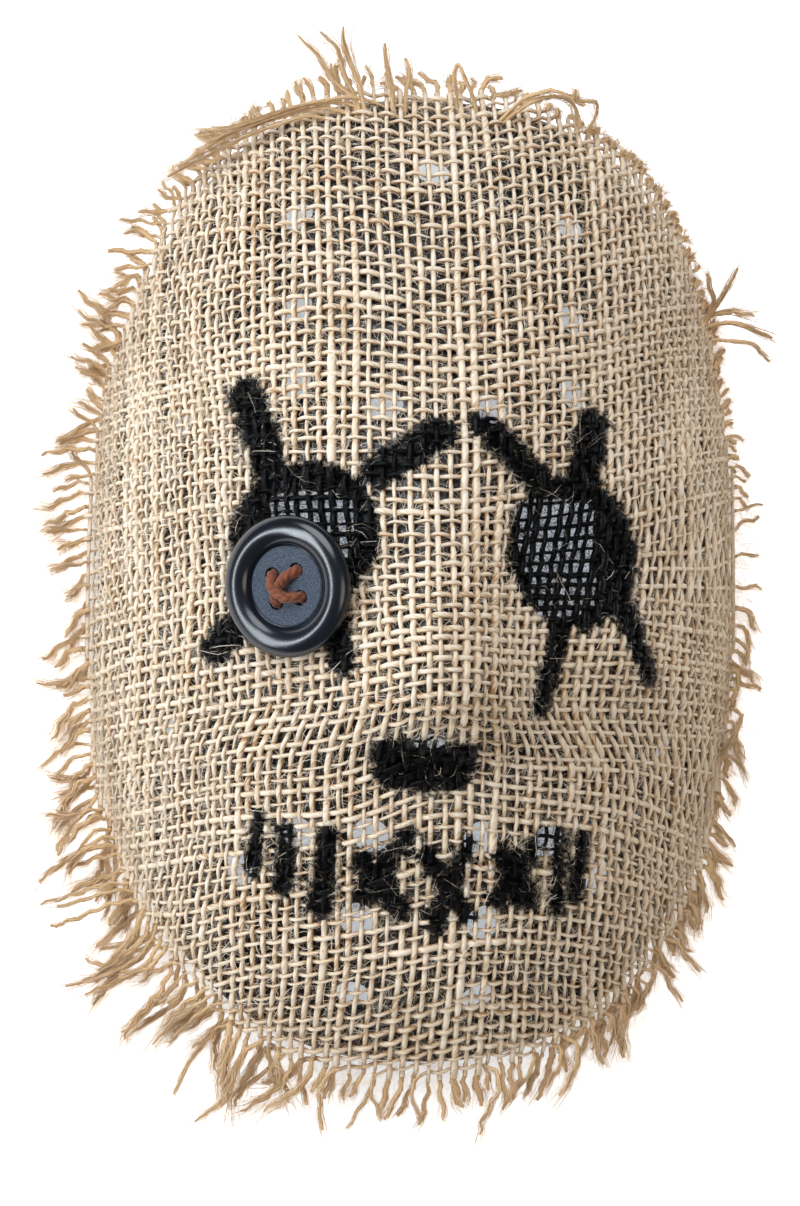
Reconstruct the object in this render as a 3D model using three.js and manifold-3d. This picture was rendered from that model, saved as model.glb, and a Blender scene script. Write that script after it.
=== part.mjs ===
// Rag doll mask: a sheet of jute burlap with frayed edges, stuck over a black
// plastic face shell with round vents, and a coat button sewn over one eye.
// Millimetres. +Z points out of the face, +Y to the top of the head and +X to
// the viewer's right. The mask lies face up, with the shell's sides on z = 0.

import * as THREE from 'three';
import { mergeVertices } from 'three/addons/utils/BufferGeometryUtils.js';
import Module from 'manifold-3d';

const wasm = await Module();
wasm.setup();

// Outline and depth of the shell
const halfWidth = 83.4;
const topReach = 126.4;
const chinReach = 124.4;
const topRoundness = 2.5;
const chinRoundness = 2.35;
const frontHeight = 69.4;
const topRimLift = 24;
const chinRimLift = 20;
const flatSideShare = 0.4;
const sideCurl = 0.9;
const endCurl = 0.4;
const curlStart = 0.2;
const shellWall = 2.5;

// Swells and hollows of the face: height, centre and half size of each
const noseTipY = -36;
const noseTopY = 24;
const noseUndersideY = -54;
const noseRise = 17;
const noseTipSpread = 19;
const noseBridgeSpread = 11;
const swells = [
  { rise: 4.5, x: 0, y: -10, sizeX: 34, sizeY: 45 },
  { rise: -2.5, x: 29, y: 4, sizeX: 14, sizeY: 14 },
  { rise: -2.5, x: -29, y: 4, sizeX: 14, sizeY: 14 },
  { rise: 2.6, x: 0, y: 27, sizeX: 46, sizeY: 10 },
  { rise: 3, x: 47, y: -22, sizeX: 15, sizeY: 13 },
  { rise: 3, x: -47, y: -22, sizeX: 15, sizeY: 13 },
  { rise: 3, x: 0, y: -70, sizeX: 27, sizeY: 9 },
  { rise: 4, x: 0, y: -103, sizeX: 24, sizeY: 12 },
];
const reliefEdge = 0.84;

// The rim's own slope is read just inside it
const insideRim = 0.9995;

// Eye holes and vents
const eyeX = 31.5;
const eyeY = 0.5;
const eyeWidth = 29;
const eyeHeight = 30;
const ventDiameter = 9;
const middleVents = [[0, 104], [0, -48]];
const pairedVents = [
  [35.5, 90.5], [35.5, 64], [35.5, 43.8], [13.2, 37.2],
  [13.9, -69.7], [31.6, -69.4], [46, -77.5],
  [16, -90], [16, -108.5], [63.4, 36], [63.8, -43],
];
const ventSides = 8;
const eyeSides = 20;
const cutterLength = 18;

// Burlap
const restGap = 0.3;
const clothThickness = 1.3;
const sideHemReach = 2.5;
const endHemReach = 5;
const endHemDroop = THREE.MathUtils.degToRad(32);

// Frayed threads, gathered in tufts that stand side by side round the hem
const tuftsPerSegment = 2;
const tuftLength = 9.5;
const tuftUnevenness = 0.42;
const tuftWaist = 0.42;
const tuftWaistPlace = 0.48;
const tuftWaistThinning = 0.8;
const tuftWaistBend = 0.3;
const tuftLean = 3;
const tuftRise = 3;
const lengthStream = 1;
const leanStream = 3;
const riseStream = 4;
const longFringe = [
  { angle: 27, span: 9, extra: 0.75 },
  { angle: 100, span: 32, extra: 0.4 },
  { angle: 180, span: 38, extra: 0.45 },
  { angle: 238, span: 26, extra: 0.75 },
  { angle: 282, span: 22, extra: 0.6 },
];

// Button and its cord
const buttonDiameter = 35;
const buttonThickness = 5.4;
const buttonFootDiameter = 27;
const rimWidth = 7.2;
const rimWaistShare = 0.5;
const rimTurnFrom = -0.28 * Math.PI;
const rimTurnTo = 1.02 * Math.PI;
const rimFacets = 7;
const buttonDiscLevel = 3.3;
const discEdgeStep = 0.3;
const buttonX = -32;
const buttonY = -8.5;
const buttonLeanX = -0.64;
const buttonLeanY = -0.19;
const buttonTurn = THREE.MathUtils.degToRad(9.5);
const holeDiameter = 3.3;
const holeSpacing = 6.8;
const holeSides = 8;
const buttonSides = 32;
const cordDiameter = 2.3;
const cordRise = 1.9;
const underCordShare = 0.75;
const cordBendShare = 0.6;
const cordFootLevel = 0.1;
const cordSteps = 11;

// Grid that the shell and the burlap share
const gridRings = 13;
const gridSegments = 44;
const gridBend = THREE.MathUtils.degToRad(78);

const up = new THREE.Vector3(0, 0, 1);

function smooth(from, to, value) {
  return THREE.MathUtils.smoothstep(value, from, to);
}

// The outline is a superellipse with a rounder chin. 0 in the middle, 1 on the rim.
function rimDistance(x, y) {
  const power = y >= 0 ? topRoundness : chinRoundness;
  const reach = y >= 0 ? topReach : chinReach;
  return (Math.abs(x / halfWidth) ** power + Math.abs(y / reach) ** power) ** (1 / power);
}

function rimPoint(angle) {
  const reach = 1 / rimDistance(Math.cos(angle), Math.sin(angle));
  return new THREE.Vector2(reach * Math.cos(angle), reach * Math.sin(angle));
}

// 0 along the sides and 1 at the top of the head and the chin
function endShare(angle) {
  const rim = rimPoint(angle);
  return Math.abs(rim.y) / (rim.y >= 0 ? topReach : chinReach);
}

function rimLift(angle) {
  const lift = Math.sin(angle) >= 0 ? topRimLift : chinRimLift;
  return lift * smooth(flatSideShare, 1, endShare(angle));
}

function noseHeight(x, y) {
  const below = smooth(noseUndersideY, noseTipY, y);
  const climb = smooth(noseTipY, noseTopY, y);
  const spread = THREE.MathUtils.lerp(noseTipSpread, noseBridgeSpread, climb);
  const along = y > noseTipY ? 1 - climb : below;
  return noseRise * along * Math.exp(-((x / spread) ** 2));
}

function swellHeight(swell, x, y) {
  const across = (x - swell.x) / swell.sizeX;
  const along = (y - swell.y) / swell.sizeY;
  return swell.rise * Math.exp(-(across * across) - along * along);
}

// Front of the shell: a dome that curls down to the rim, with the face's relief on it
function faceHeight(x, y) {
  const distance = rimDistance(x, y);
  const angle = Math.atan2(y, x);
  const lift = rimLift(angle);
  const curl = THREE.MathUtils.lerp(sideCurl, endCurl, smooth(curlStart, 1, endShare(angle)));
  const edge = Math.sqrt(1 - curl);
  const dome = (Math.sqrt(1 - curl * distance * distance) - edge) / (1 - edge);
  const relief = swells.reduce((sum, swell) => sum + swellHeight(swell, x, y), noseHeight(x, y));
  return lift + (frontHeight - lift) * dome + relief * (1 - smooth(reliefEdge, 1, distance));
}

function faceNormal(x, y) {
  const step = 0.01;
  const slopeX = (faceHeight(x + step, y) - faceHeight(x - step, y)) / (2 * step);
  const slopeY = (faceHeight(x, y + step) - faceHeight(x, y - step)) / (2 * step);
  return new THREE.Vector3(-slopeX, -slopeY, 1).normalize();
}

function ringShare(ring) {
  return Math.sin((ring / gridRings) * gridBend) / Math.sin(gridBend);
}

// A grid point moved off the front of the shell, square to it. The rim's own
// edge stays level along the flat sides, where the mask rests.
function gridPoint(ring, angle, offset) {
  const rim = rimPoint(angle);
  const share = ringShare(ring);
  const inside = Math.min(share, insideRim);
  const normal = faceNormal(rim.x * inside, rim.y * inside);
  if (ring === gridRings) {
    normal.z *= smooth(flatSideShare, 1, endShare(angle));
    normal.normalize();
  }
  const point = new THREE.Vector3(rim.x * share, rim.y * share, 0);
  point.z = ring === gridRings ? rimLift(angle) : faceHeight(point.x, point.y);
  return point.addScaledVector(normal, offset);
}

function segmentAngle(segment) {
  return (segment / gridSegments) * Math.PI * 2;
}

// Faces of one closed body, collected point by point
function startSkin() {
  const positions = [];
  const index = [];
  return {
    point(place) {
      positions.push(...place.toArray());
      return positions.length / 3 - 1;
    },
    face(...corners) {
      for (let corner = 1; corner < corners.length - 1; corner += 1) {
        index.push(corners[0], corners[corner], corners[corner + 1]);
      }
    },
    geometry() {
      const geometry = new THREE.BufferGeometry();
      geometry.setAttribute('position', new THREE.Float32BufferAttribute(positions, 3));
      geometry.setIndex(index);
      return geometry;
    },
  };
}

// The same face seen from its other side, split along the same diagonal
function turnOver([first, ...others]) {
  return [first, ...others.reverse()];
}

// One layer of a sheet, from the middle out. Gives back the points of its edge.
function addLayer(skin, rings, facesOut) {
  const face = (...corners) => skin.face(...(facesOut ? corners : turnOver(corners)));
  const middle = skin.point(rings[0][0]);
  let inner = null;
  for (const ring of rings.slice(1)) {
    const outer = ring.map((place) => skin.point(place));
    outer.forEach((corner, segment) => {
      const next = (segment + 1) % outer.length;
      if (inner) face(inner[segment], corner, outer[next], inner[next]);
      else face(middle, corner, outer[next]);
    });
    inner = outer;
  }
  return inner;
}

function gridLayer(offset) {
  const rings = [];
  for (let ring = 0; ring <= gridRings; ring += 1) {
    const points = [];
    for (let segment = 0; segment < gridSegments; segment += 1) {
      points.push(gridPoint(ring, segmentAngle(segment), offset));
    }
    rings.push(points);
  }
  return rings;
}

function toSolid(geometry) {
  const bare = geometry.clone();
  bare.deleteAttribute('normal');
  bare.deleteAttribute('uv');
  const merged = mergeVertices(bare, 1e-4);
  return new wasm.Manifold(new wasm.Mesh({
    numProp: 3,
    vertProperties: merged.attributes.position.array,
    triVerts: new Uint32Array(merged.index.array),
  }));
}

function toGeometry(solid) {
  const mesh = solid.getMesh();
  const geometry = new THREE.BufferGeometry();
  geometry.setAttribute('position', new THREE.BufferAttribute(mesh.vertProperties, 3));
  geometry.setIndex(new THREE.BufferAttribute(mesh.triVerts, 1));
  return geometry;
}

// A round or oval cutter that stands at (x, y) on the face, along a given direction
function cutter(x, y, width, height, sides, direction) {
  const geometry = new THREE.CylinderGeometry(0.5, 0.5, cutterLength, sides);
  geometry.rotateX(Math.PI / 2);
  geometry.scale(width, height, 1);
  geometry.applyQuaternion(new THREE.Quaternion().setFromUnitVectors(up, direction));
  geometry.translate(x, y, faceHeight(x, y));
  return toSolid(geometry);
}

function shellGeometry() {
  const skin = startSkin();
  const front = addLayer(skin, gridLayer(0), true);
  const back = addLayer(skin, gridLayer(-shellWall), false);
  front.forEach((corner, segment) => {
    const next = (segment + 1) % front.length;
    skin.face(corner, back[segment], back[next], front[next]);
  });
  let shell = toSolid(skin.geometry());
  const vents = [...middleVents];
  for (const [x, y] of pairedVents) {
    vents.push([x, y], [-x, y]);
  }
  for (const [x, y] of vents) {
    const vent = cutter(x, y, ventDiameter, ventDiameter, ventSides, faceNormal(x, y));
    shell = shell.subtract(vent);
  }
  for (const side of [-1, 1]) {
    shell = shell.subtract(cutter(side * eyeX, eyeY, eyeWidth, eyeHeight, eyeSides, up));
  }
  return toGeometry(shell);
}

// The hem flares past the rim: level along the sides, drooping at the head and the chin
function hemPoint(angle, reach, lift) {
  const ends = smooth(flatSideShare, 1, endShare(angle));
  const droop = endHemDroop * ends;
  const rim = rimPoint(angle).multiplyScalar(insideRim);
  const normal = faceNormal(rim.x, rim.y);
  const outward = new THREE.Vector3(normal.x, normal.y, 0).normalize();
  const along = outward.clone().multiplyScalar(Math.cos(droop)).addScaledVector(up, -Math.sin(droop));
  const across = outward.clone().multiplyScalar(Math.sin(droop)).addScaledVector(up, Math.cos(droop));
  const hemReach = THREE.MathUtils.lerp(sideHemReach, endHemReach, ends);
  const point = gridPoint(gridRings, angle, restGap);
  return point.addScaledVector(along, hemReach + reach).addScaledVector(across, lift);
}

// An even but irregular spread of values between 0 and 1, one stream for each use
function scatter(number, stream) {
  const wave = Math.sin(number * 12.9898 + stream * 78.233) * 43758.5453;
  return wave - Math.floor(wave);
}

function fringeLength(angle, number) {
  const degrees = THREE.MathUtils.radToDeg(angle);
  const growth = longFringe.reduce((sum, patch) => {
    return sum + patch.extra * Math.exp(-(((degrees - patch.angle) / patch.span) ** 2));
  }, 1);
  return tuftLength * growth * (1 - tuftUnevenness + 2 * tuftUnevenness * scatter(number, lengthStream));
}

// The hem's edge has a point at the root of every tuft
function addHem(skin, edge, lift, facesOut) {
  const face = (...corners) => skin.face(...(facesOut ? corners : turnOver(corners)));
  const count = edge.length * tuftsPerSegment;
  const hem = [];
  for (let root = 0; root < count; root += 1) {
    hem.push(skin.point(hemPoint((root / count) * Math.PI * 2, 0, lift)));
  }
  edge.forEach((corner, segment) => {
    const next = edge[(segment + 1) % edge.length];
    const roots = [0, 1, 2].map((step) => hem[(segment * tuftsPerSegment + step) % count]);
    face(corner, roots[0], roots[1]);
    face(corner, roots[1], next);
    face(next, roots[1], roots[2]);
  });
  return hem;
}

// A tuft narrows from its root to a waist and from there to its tip, leaning a little
function addTuft(skin, number, count, roots) {
  const columnAngle = (Math.PI * 2) / count;
  const angle = (number + 0.5) * columnAngle;
  const length = fringeLength(angle, number);
  const columnWidth = hemPoint(angle, 0, 0).distanceTo(hemPoint(angle + columnAngle, 0, 0));
  const lean = ((scatter(number, leanStream) - 0.5) * 2 * tuftLean * columnAngle) / columnWidth;
  const rise = tuftRise * scatter(number, riseStream);
  const waist = [];
  for (const [side, lift] of [[-0.5, clothThickness], [-0.5, 0], [0.5, 0], [0.5, clothThickness]]) {
    const turn = angle + lean * tuftWaistBend + side * tuftWaist * columnAngle;
    const height = lift * tuftWaistThinning + rise * tuftWaistBend;
    waist.push(skin.point(hemPoint(turn, length * tuftWaistPlace, height)));
  }
  const tip = skin.point(hemPoint(angle + lean, length, clothThickness / 2 + rise));
  waist.forEach((corner, side) => {
    const next = (side + 1) % waist.length;
    skin.face(roots[side], roots[next], waist[next], corner);
    skin.face(corner, waist[next], tip);
  });
}

function burlapGeometry() {
  const skin = startSkin();
  const over = addLayer(skin, gridLayer(restGap + clothThickness), true);
  const under = addLayer(skin, gridLayer(restGap), false);
  const overHem = addHem(skin, over, clothThickness, true);
  const underHem = addHem(skin, under, 0, false);
  const count = overHem.length;
  overHem.forEach((root, number) => {
    const next = (number + 1) % count;
    addTuft(skin, number, count, [root, underHem[number], underHem[next], overHem[next]]);
  });
  return skin.geometry();
}

// Button: flat back, fat round rim and a flat disc sunk inside it
function buttonGeometry() {
  const radius = buttonDiameter / 2;
  const rimMiddle = radius - rimWidth / 2;
  const profile = [new THREE.Vector2(0, 0), new THREE.Vector2(buttonFootDiameter / 2, 0)];
  const level = buttonThickness * rimWaistShare;
  for (let step = 0; step <= rimFacets; step += 1) {
    const turn = THREE.MathUtils.lerp(rimTurnFrom, rimTurnTo, step / rimFacets);
    const reach = turn < 0 ? level : buttonThickness - level;
    profile.push(new THREE.Vector2(
      rimMiddle + (rimWidth / 2) * Math.cos(turn),
      level + reach * Math.sin(turn),
    ));
  }
  profile.push(new THREE.Vector2(radius - rimWidth - discEdgeStep, buttonDiscLevel));
  profile.push(new THREE.Vector2(0, buttonDiscLevel));
  const lathe = new THREE.LatheGeometry(profile, buttonSides);
  lathe.rotateX(Math.PI / 2);
  let button = toSolid(lathe);
  for (const corner of holeCorners()) {
    const hole = new THREE.CylinderGeometry(holeDiameter / 2, holeDiameter / 2, cutterLength, holeSides);
    hole.rotateX(Math.PI / 2);
    hole.translate(corner.x, corner.y, 0);
    button = button.subtract(toSolid(hole));
  }
  return toGeometry(button);
}

function holeCorners() {
  const half = holeSpacing / 2;
  return [[-half, half], [half, half], [half, -half], [-half, -half]].map(([x, y]) => {
    return new THREE.Vector2(x, y).rotateAround(new THREE.Vector2(), buttonTurn);
  });
}

// The cord comes up through one hole and goes down the hole across from it
function stitchSolid(from, to, height) {
  const top = buttonDiscLevel + height;
  const path = new THREE.CatmullRomCurve3([
    new THREE.Vector3(from.x, from.y, cordFootLevel),
    new THREE.Vector3(from.x, from.y, buttonDiscLevel),
    new THREE.Vector3(from.x * cordBendShare, from.y * cordBendShare, top),
    new THREE.Vector3(to.x * cordBendShare, to.y * cordBendShare, top),
    new THREE.Vector3(to.x, to.y, buttonDiscLevel),
    new THREE.Vector3(to.x, to.y, cordFootLevel),
  ]);
  const section = new THREE.Shape();
  section.absarc(0, 0, cordDiameter / 2, 0, Math.PI * 2);
  return toSolid(new THREE.ExtrudeGeometry(section, {
    extrudePath: path,
    steps: cordSteps,
    curveSegments: 3,
    bevelEnabled: false,
  }));
}

function cordGeometry() {
  const [topLeft, topRight, lowRight, lowLeft] = holeCorners();
  const under = stitchSolid(topRight, lowLeft, cordRise * underCordShare);
  const over = stitchSolid(topLeft, lowRight, cordRise);
  return toGeometry(under.add(over));
}

// The button lies square to its own lean, clear of the burlap all over its back
function placeButton(group) {
  const facing = new THREE.Vector3(buttonLeanX, buttonLeanY, 1).normalize();
  const clothOver = restGap + clothThickness;
  const middle = new THREE.Vector3(buttonX, buttonY, faceHeight(buttonX, buttonY));
  let clearance = 0;
  for (let x = -buttonDiameter / 2; x <= buttonDiameter / 2; x += 1) {
    for (let y = -buttonDiameter / 2; y <= buttonDiameter / 2; y += 1) {
      const point = new THREE.Vector3(buttonX + x, buttonY + y, faceHeight(buttonX + x, buttonY + y));
      point.addScaledVector(faceNormal(buttonX + x, buttonY + y), clothOver);
      point.sub(middle);
      const height = point.dot(facing);
      const sideways = point.addScaledVector(facing, -height).length();
      if (sideways < buttonFootDiameter / 2) clearance = Math.max(clearance, height);
    }
  }
  group.quaternion.setFromUnitVectors(up, facing);
  group.position.copy(middle).addScaledVector(facing, clearance + restGap);
}

function namedMesh(name, geometry, color, roughness, metalness = 0) {
  const flat = geometry.index ? geometry.toNonIndexed() : geometry;
  flat.computeVertexNormals();
  const mesh = new THREE.Mesh(flat, new THREE.MeshStandardMaterial({ color, roughness, metalness }));
  mesh.name = name;
  return mesh;
}

const face = new THREE.Group();
face.add(namedMesh('face_shell', shellGeometry(), 0x101113, 0.45));
face.add(namedMesh('burlap_cover', burlapGeometry(), 0xb9a17c, 0.95));

const sewnButton = new THREE.Group();
sewnButton.add(namedMesh('button', buttonGeometry(), 0x14161f, 0.25));
sewnButton.add(namedMesh('button_thread', cordGeometry(), 0x6b3420, 0.9));
placeButton(sewnButton);
face.add(sewnButton);

// The fringe is uneven, so the whole mask is moved to stand over the middle of its own box
const box = new THREE.Box3().setFromObject(face);
face.position.set(-(box.min.x + box.max.x) / 2, -(box.min.y + box.max.y) / 2, -box.min.z);

const mask = new THREE.Group();
mask.add(face);

export default mask;
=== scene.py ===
"""Looks of the rag doll mask: woven jute with frayed ends over a black plastic face shell,
soaked paint, and a coat button sewn over one eye. Metres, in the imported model's frame."""

import math

import bmesh
import bpy
import numpy as np
from bpy.props import FloatProperty, FloatVectorProperty, IntProperty, PointerProperty
from mathutils import Matrix, Vector


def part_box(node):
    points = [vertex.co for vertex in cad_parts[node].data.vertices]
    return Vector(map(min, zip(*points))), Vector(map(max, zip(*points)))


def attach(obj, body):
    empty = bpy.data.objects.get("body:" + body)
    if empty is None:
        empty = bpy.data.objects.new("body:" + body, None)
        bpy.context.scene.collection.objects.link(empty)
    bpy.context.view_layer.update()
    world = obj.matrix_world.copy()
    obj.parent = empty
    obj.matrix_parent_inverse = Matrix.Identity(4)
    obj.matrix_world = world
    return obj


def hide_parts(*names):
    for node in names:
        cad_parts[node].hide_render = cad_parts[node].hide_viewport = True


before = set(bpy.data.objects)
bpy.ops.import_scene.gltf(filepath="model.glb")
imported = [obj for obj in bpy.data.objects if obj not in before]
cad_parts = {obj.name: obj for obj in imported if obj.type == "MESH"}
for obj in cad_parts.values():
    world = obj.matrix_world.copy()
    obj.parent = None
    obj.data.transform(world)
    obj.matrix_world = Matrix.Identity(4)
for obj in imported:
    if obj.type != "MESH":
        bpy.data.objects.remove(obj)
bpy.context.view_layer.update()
SHELL_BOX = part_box("face_shell")

bl_info = {
    "name": "Rag doll mask",
    "version": (1, 0, 0),
    "blender": (4, 5, 0),
    "location": "3D View > Sidebar > Mask",
    "description": "Builds the rag doll mask round its packed frame, piece by piece",
    "category": "Object",
}

BODY = "root"
MM = 0.001
UPWARD = Vector((0, 0, 1))
SAME_POINT = 1e-7
UV_PER_METRE = 100

# Swells and hollows of the face, as the shell has them: rise, x, y, half size in x and in y
SWELLS = np.array([
    (4.5, 0, -10, 34, 45),
    (-2.5, 29, 4, 14, 14),
    (-2.5, -29, 4, 14, 14),
    (2.6, 0, 27, 46, 10),
    (3, 47, -22, 15, 13),
    (3, -47, -22, 15, 13),
    (3, 0, -70, 27, 9),
    (4, 0, -103, 24, 12),
]) * MM
NOSE = {
    "tip": -36 * MM, "top": 24 * MM, "under": -54 * MM, "rise": 17 * MM, "wide": 19 * MM, "slim": 11 * MM,
}

# The oval's powers, how far up its sides the rim lies flat, how strongly the dome curls down at the
# sides and the ends, where that starts to change, and how far out its relief and the jute reach
TOP_ROUNDNESS = 2.5
CHIN_ROUNDNESS = 2.35
FLAT_SIDES = 0.4
SIDE_CURL = 0.9
END_CURL = 0.4
CURL_START = 0.2
RELIEF_EDGE = 0.84
DOME_HOLD = 0.985

# The shell's grid is denser towards the rim, as if bent over this angle
GRID_BEND = math.radians(78)

MIDDLE_VENTS = [(0, 104), (0, -48)]
PAIRED_VENTS = [
    (35.5, 90.5), (35.5, 64), (35.5, 43.8), (13.2, 37.2), (13.9, -69.7), (31.6, -69.4),
    (46, -77.5), (16, -90), (16, -108.5), (63.4, 36), (63.8, -43),
]

# Painted strokes in millimetres on the face. Discs: middle and half sizes. Rays and stitches: from,
# to, and the width at each end. The nose block: its corners
EYE_DISCS = [(-31.7, 3.9, 17.8, 18.1), (34.7, 1.4, 17.3, 19.3)]
EYE_RAYS = [
    ((-46.7, 40.8), (-40.8, 22.1), 8.3, 8.3),
    ((0.4, 29.0), (-14.5, 19.0), 7.9, 8.3),
    ((-52.8, -23.4), (-46.3, -16.6), 7.2, 7.2),
    ((-21.6, -28.9), (-24.7, -18.8), 5.7, 6.2),
    ((11.0, 31.3), (25.3, 18.8), 6.6, 7.4),
    ((39.8, 35.4), (37.3, 21.5), 7.9, 8.9),
    ((26.4, -37.5), (31.7, -15.8), 3.8, 6.1),
    ((56.0, -27.3), (48.5, -12.0), 4.5, 6.8),
]
NOSE_BLOCK = [
    (-14.2, -47.7), (-11.4, -46.4), (-2.4, -46.6), (10.6, -46.8), (10.7, -52.5), (9.5, -57.1),
    (1.7, -59.0), (-7.6, -58.5), (-13.6, -56.1),
]
STITCHES = [
    ((-40.7, -65.4), (-42.0, -77.7), 3.5, 3.9),
    ((-34.0, -68.7), (-34.2, -81.5), 4.4, 4.7),
    ((-24.1, -70.1), (-25.0, -86.0), 5.4, 5.9),
    ((-4.5, -69.4), (-15.2, -84.2), 4.1, 4.7),
    ((-15.2, -75.2), (-5.5, -86.6), 5.6, 5.3),
    ((10.1, -71.0), (3.5, -90.1), 4.1, 5.2),
    ((-0.3, -73.2), (11.1, -87.6), 4.1, 4.7),
    ((29.9, -67.3), (18.3, -83.7), 3.9, 4.7),
    ((19.3, -73.8), (26.8, -83.1), 5.6, 5.3),
    ((33.3, -66.8), (34.5, -85.7), 3.8, 3.2),
    ((39.8, -67.8), (38.4, -82.3), 3.9, 3.9),
    ((-9.9, -74.5), (-9.9, -82.5), 6.0, 6.0),
    ((22.8, -74.5), (23.0, -81.5), 6.0, 6.0),
]

# Stretches where one thread is thick and loosely spun: which way it runs, where it lies across
# that way, where the stretch starts and ends (mm), how much it swells and how pale it is
SLUBS = [
    ("weft", 14.2, -15, 17, 1.05, 0.9),
    ("warp", -24.2, 20, 50, 0.42, 0.6),
    ("warp", -18.0, 20, 50, 0.50, 0.5),
    ("warp", 12.5, 62, 92, 0.40, 0.3),
    ("weft", 70.0, -40, -12, 0.45, 0.4),
    ("weft", -98.0, -12, 26, 0.55, 0.3),
]

# Millimetres that the paint soaked out past its strokes, and the distance past which nothing shows
PAINT_SOAK = 0.45
UNPAINTED = 6.0

# Waves of the uneven cut of the hem: how many round the mask, where they start, and their size
HEM_WAVES = [(7, 0.6, 1.0), (17, 2.1, 0.7), (31, 4.0, 0.5)]

# How the fringe grows round the mask: angle, length in millimetres, where the tips point, and how
# far the threads have come unspun
FRINGE = np.array([
    (0, 9, -70, 0.3), (14, 8, -60, 0.2), (23, 7, -40, 0.2), (33, 5, 30, 0.3), (40, 5, 35, 0.4),
    (55, 4, 45, 0.6), (68, 4, 60, 0.7), (78, 6, 75, 0.5), (88, 11, 92, 0.2), (100, 13, 97, 0.3),
    (108, 9, 115, 0.4), (118, 12, 160, 0.5), (130, 14, 178, 0.5), (143, 13, 188, 0.7), (160, 14, 198, 0.8),
    (180, 15, 207, 0.9), (200, 16, 216, 0.9), (216, 18, 224, 0.7), (235, 24, 220, 0.5), (252, 24, 232, 0.5),
    (266, 21, 246, 0.5), (282, 16, 254, 0.5), (300, 14, 266, 0.6), (318, 15, 272, 0.6), (335, 13, 282, 0.5),
    (350, 10, 290, 0.3),
])

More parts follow.
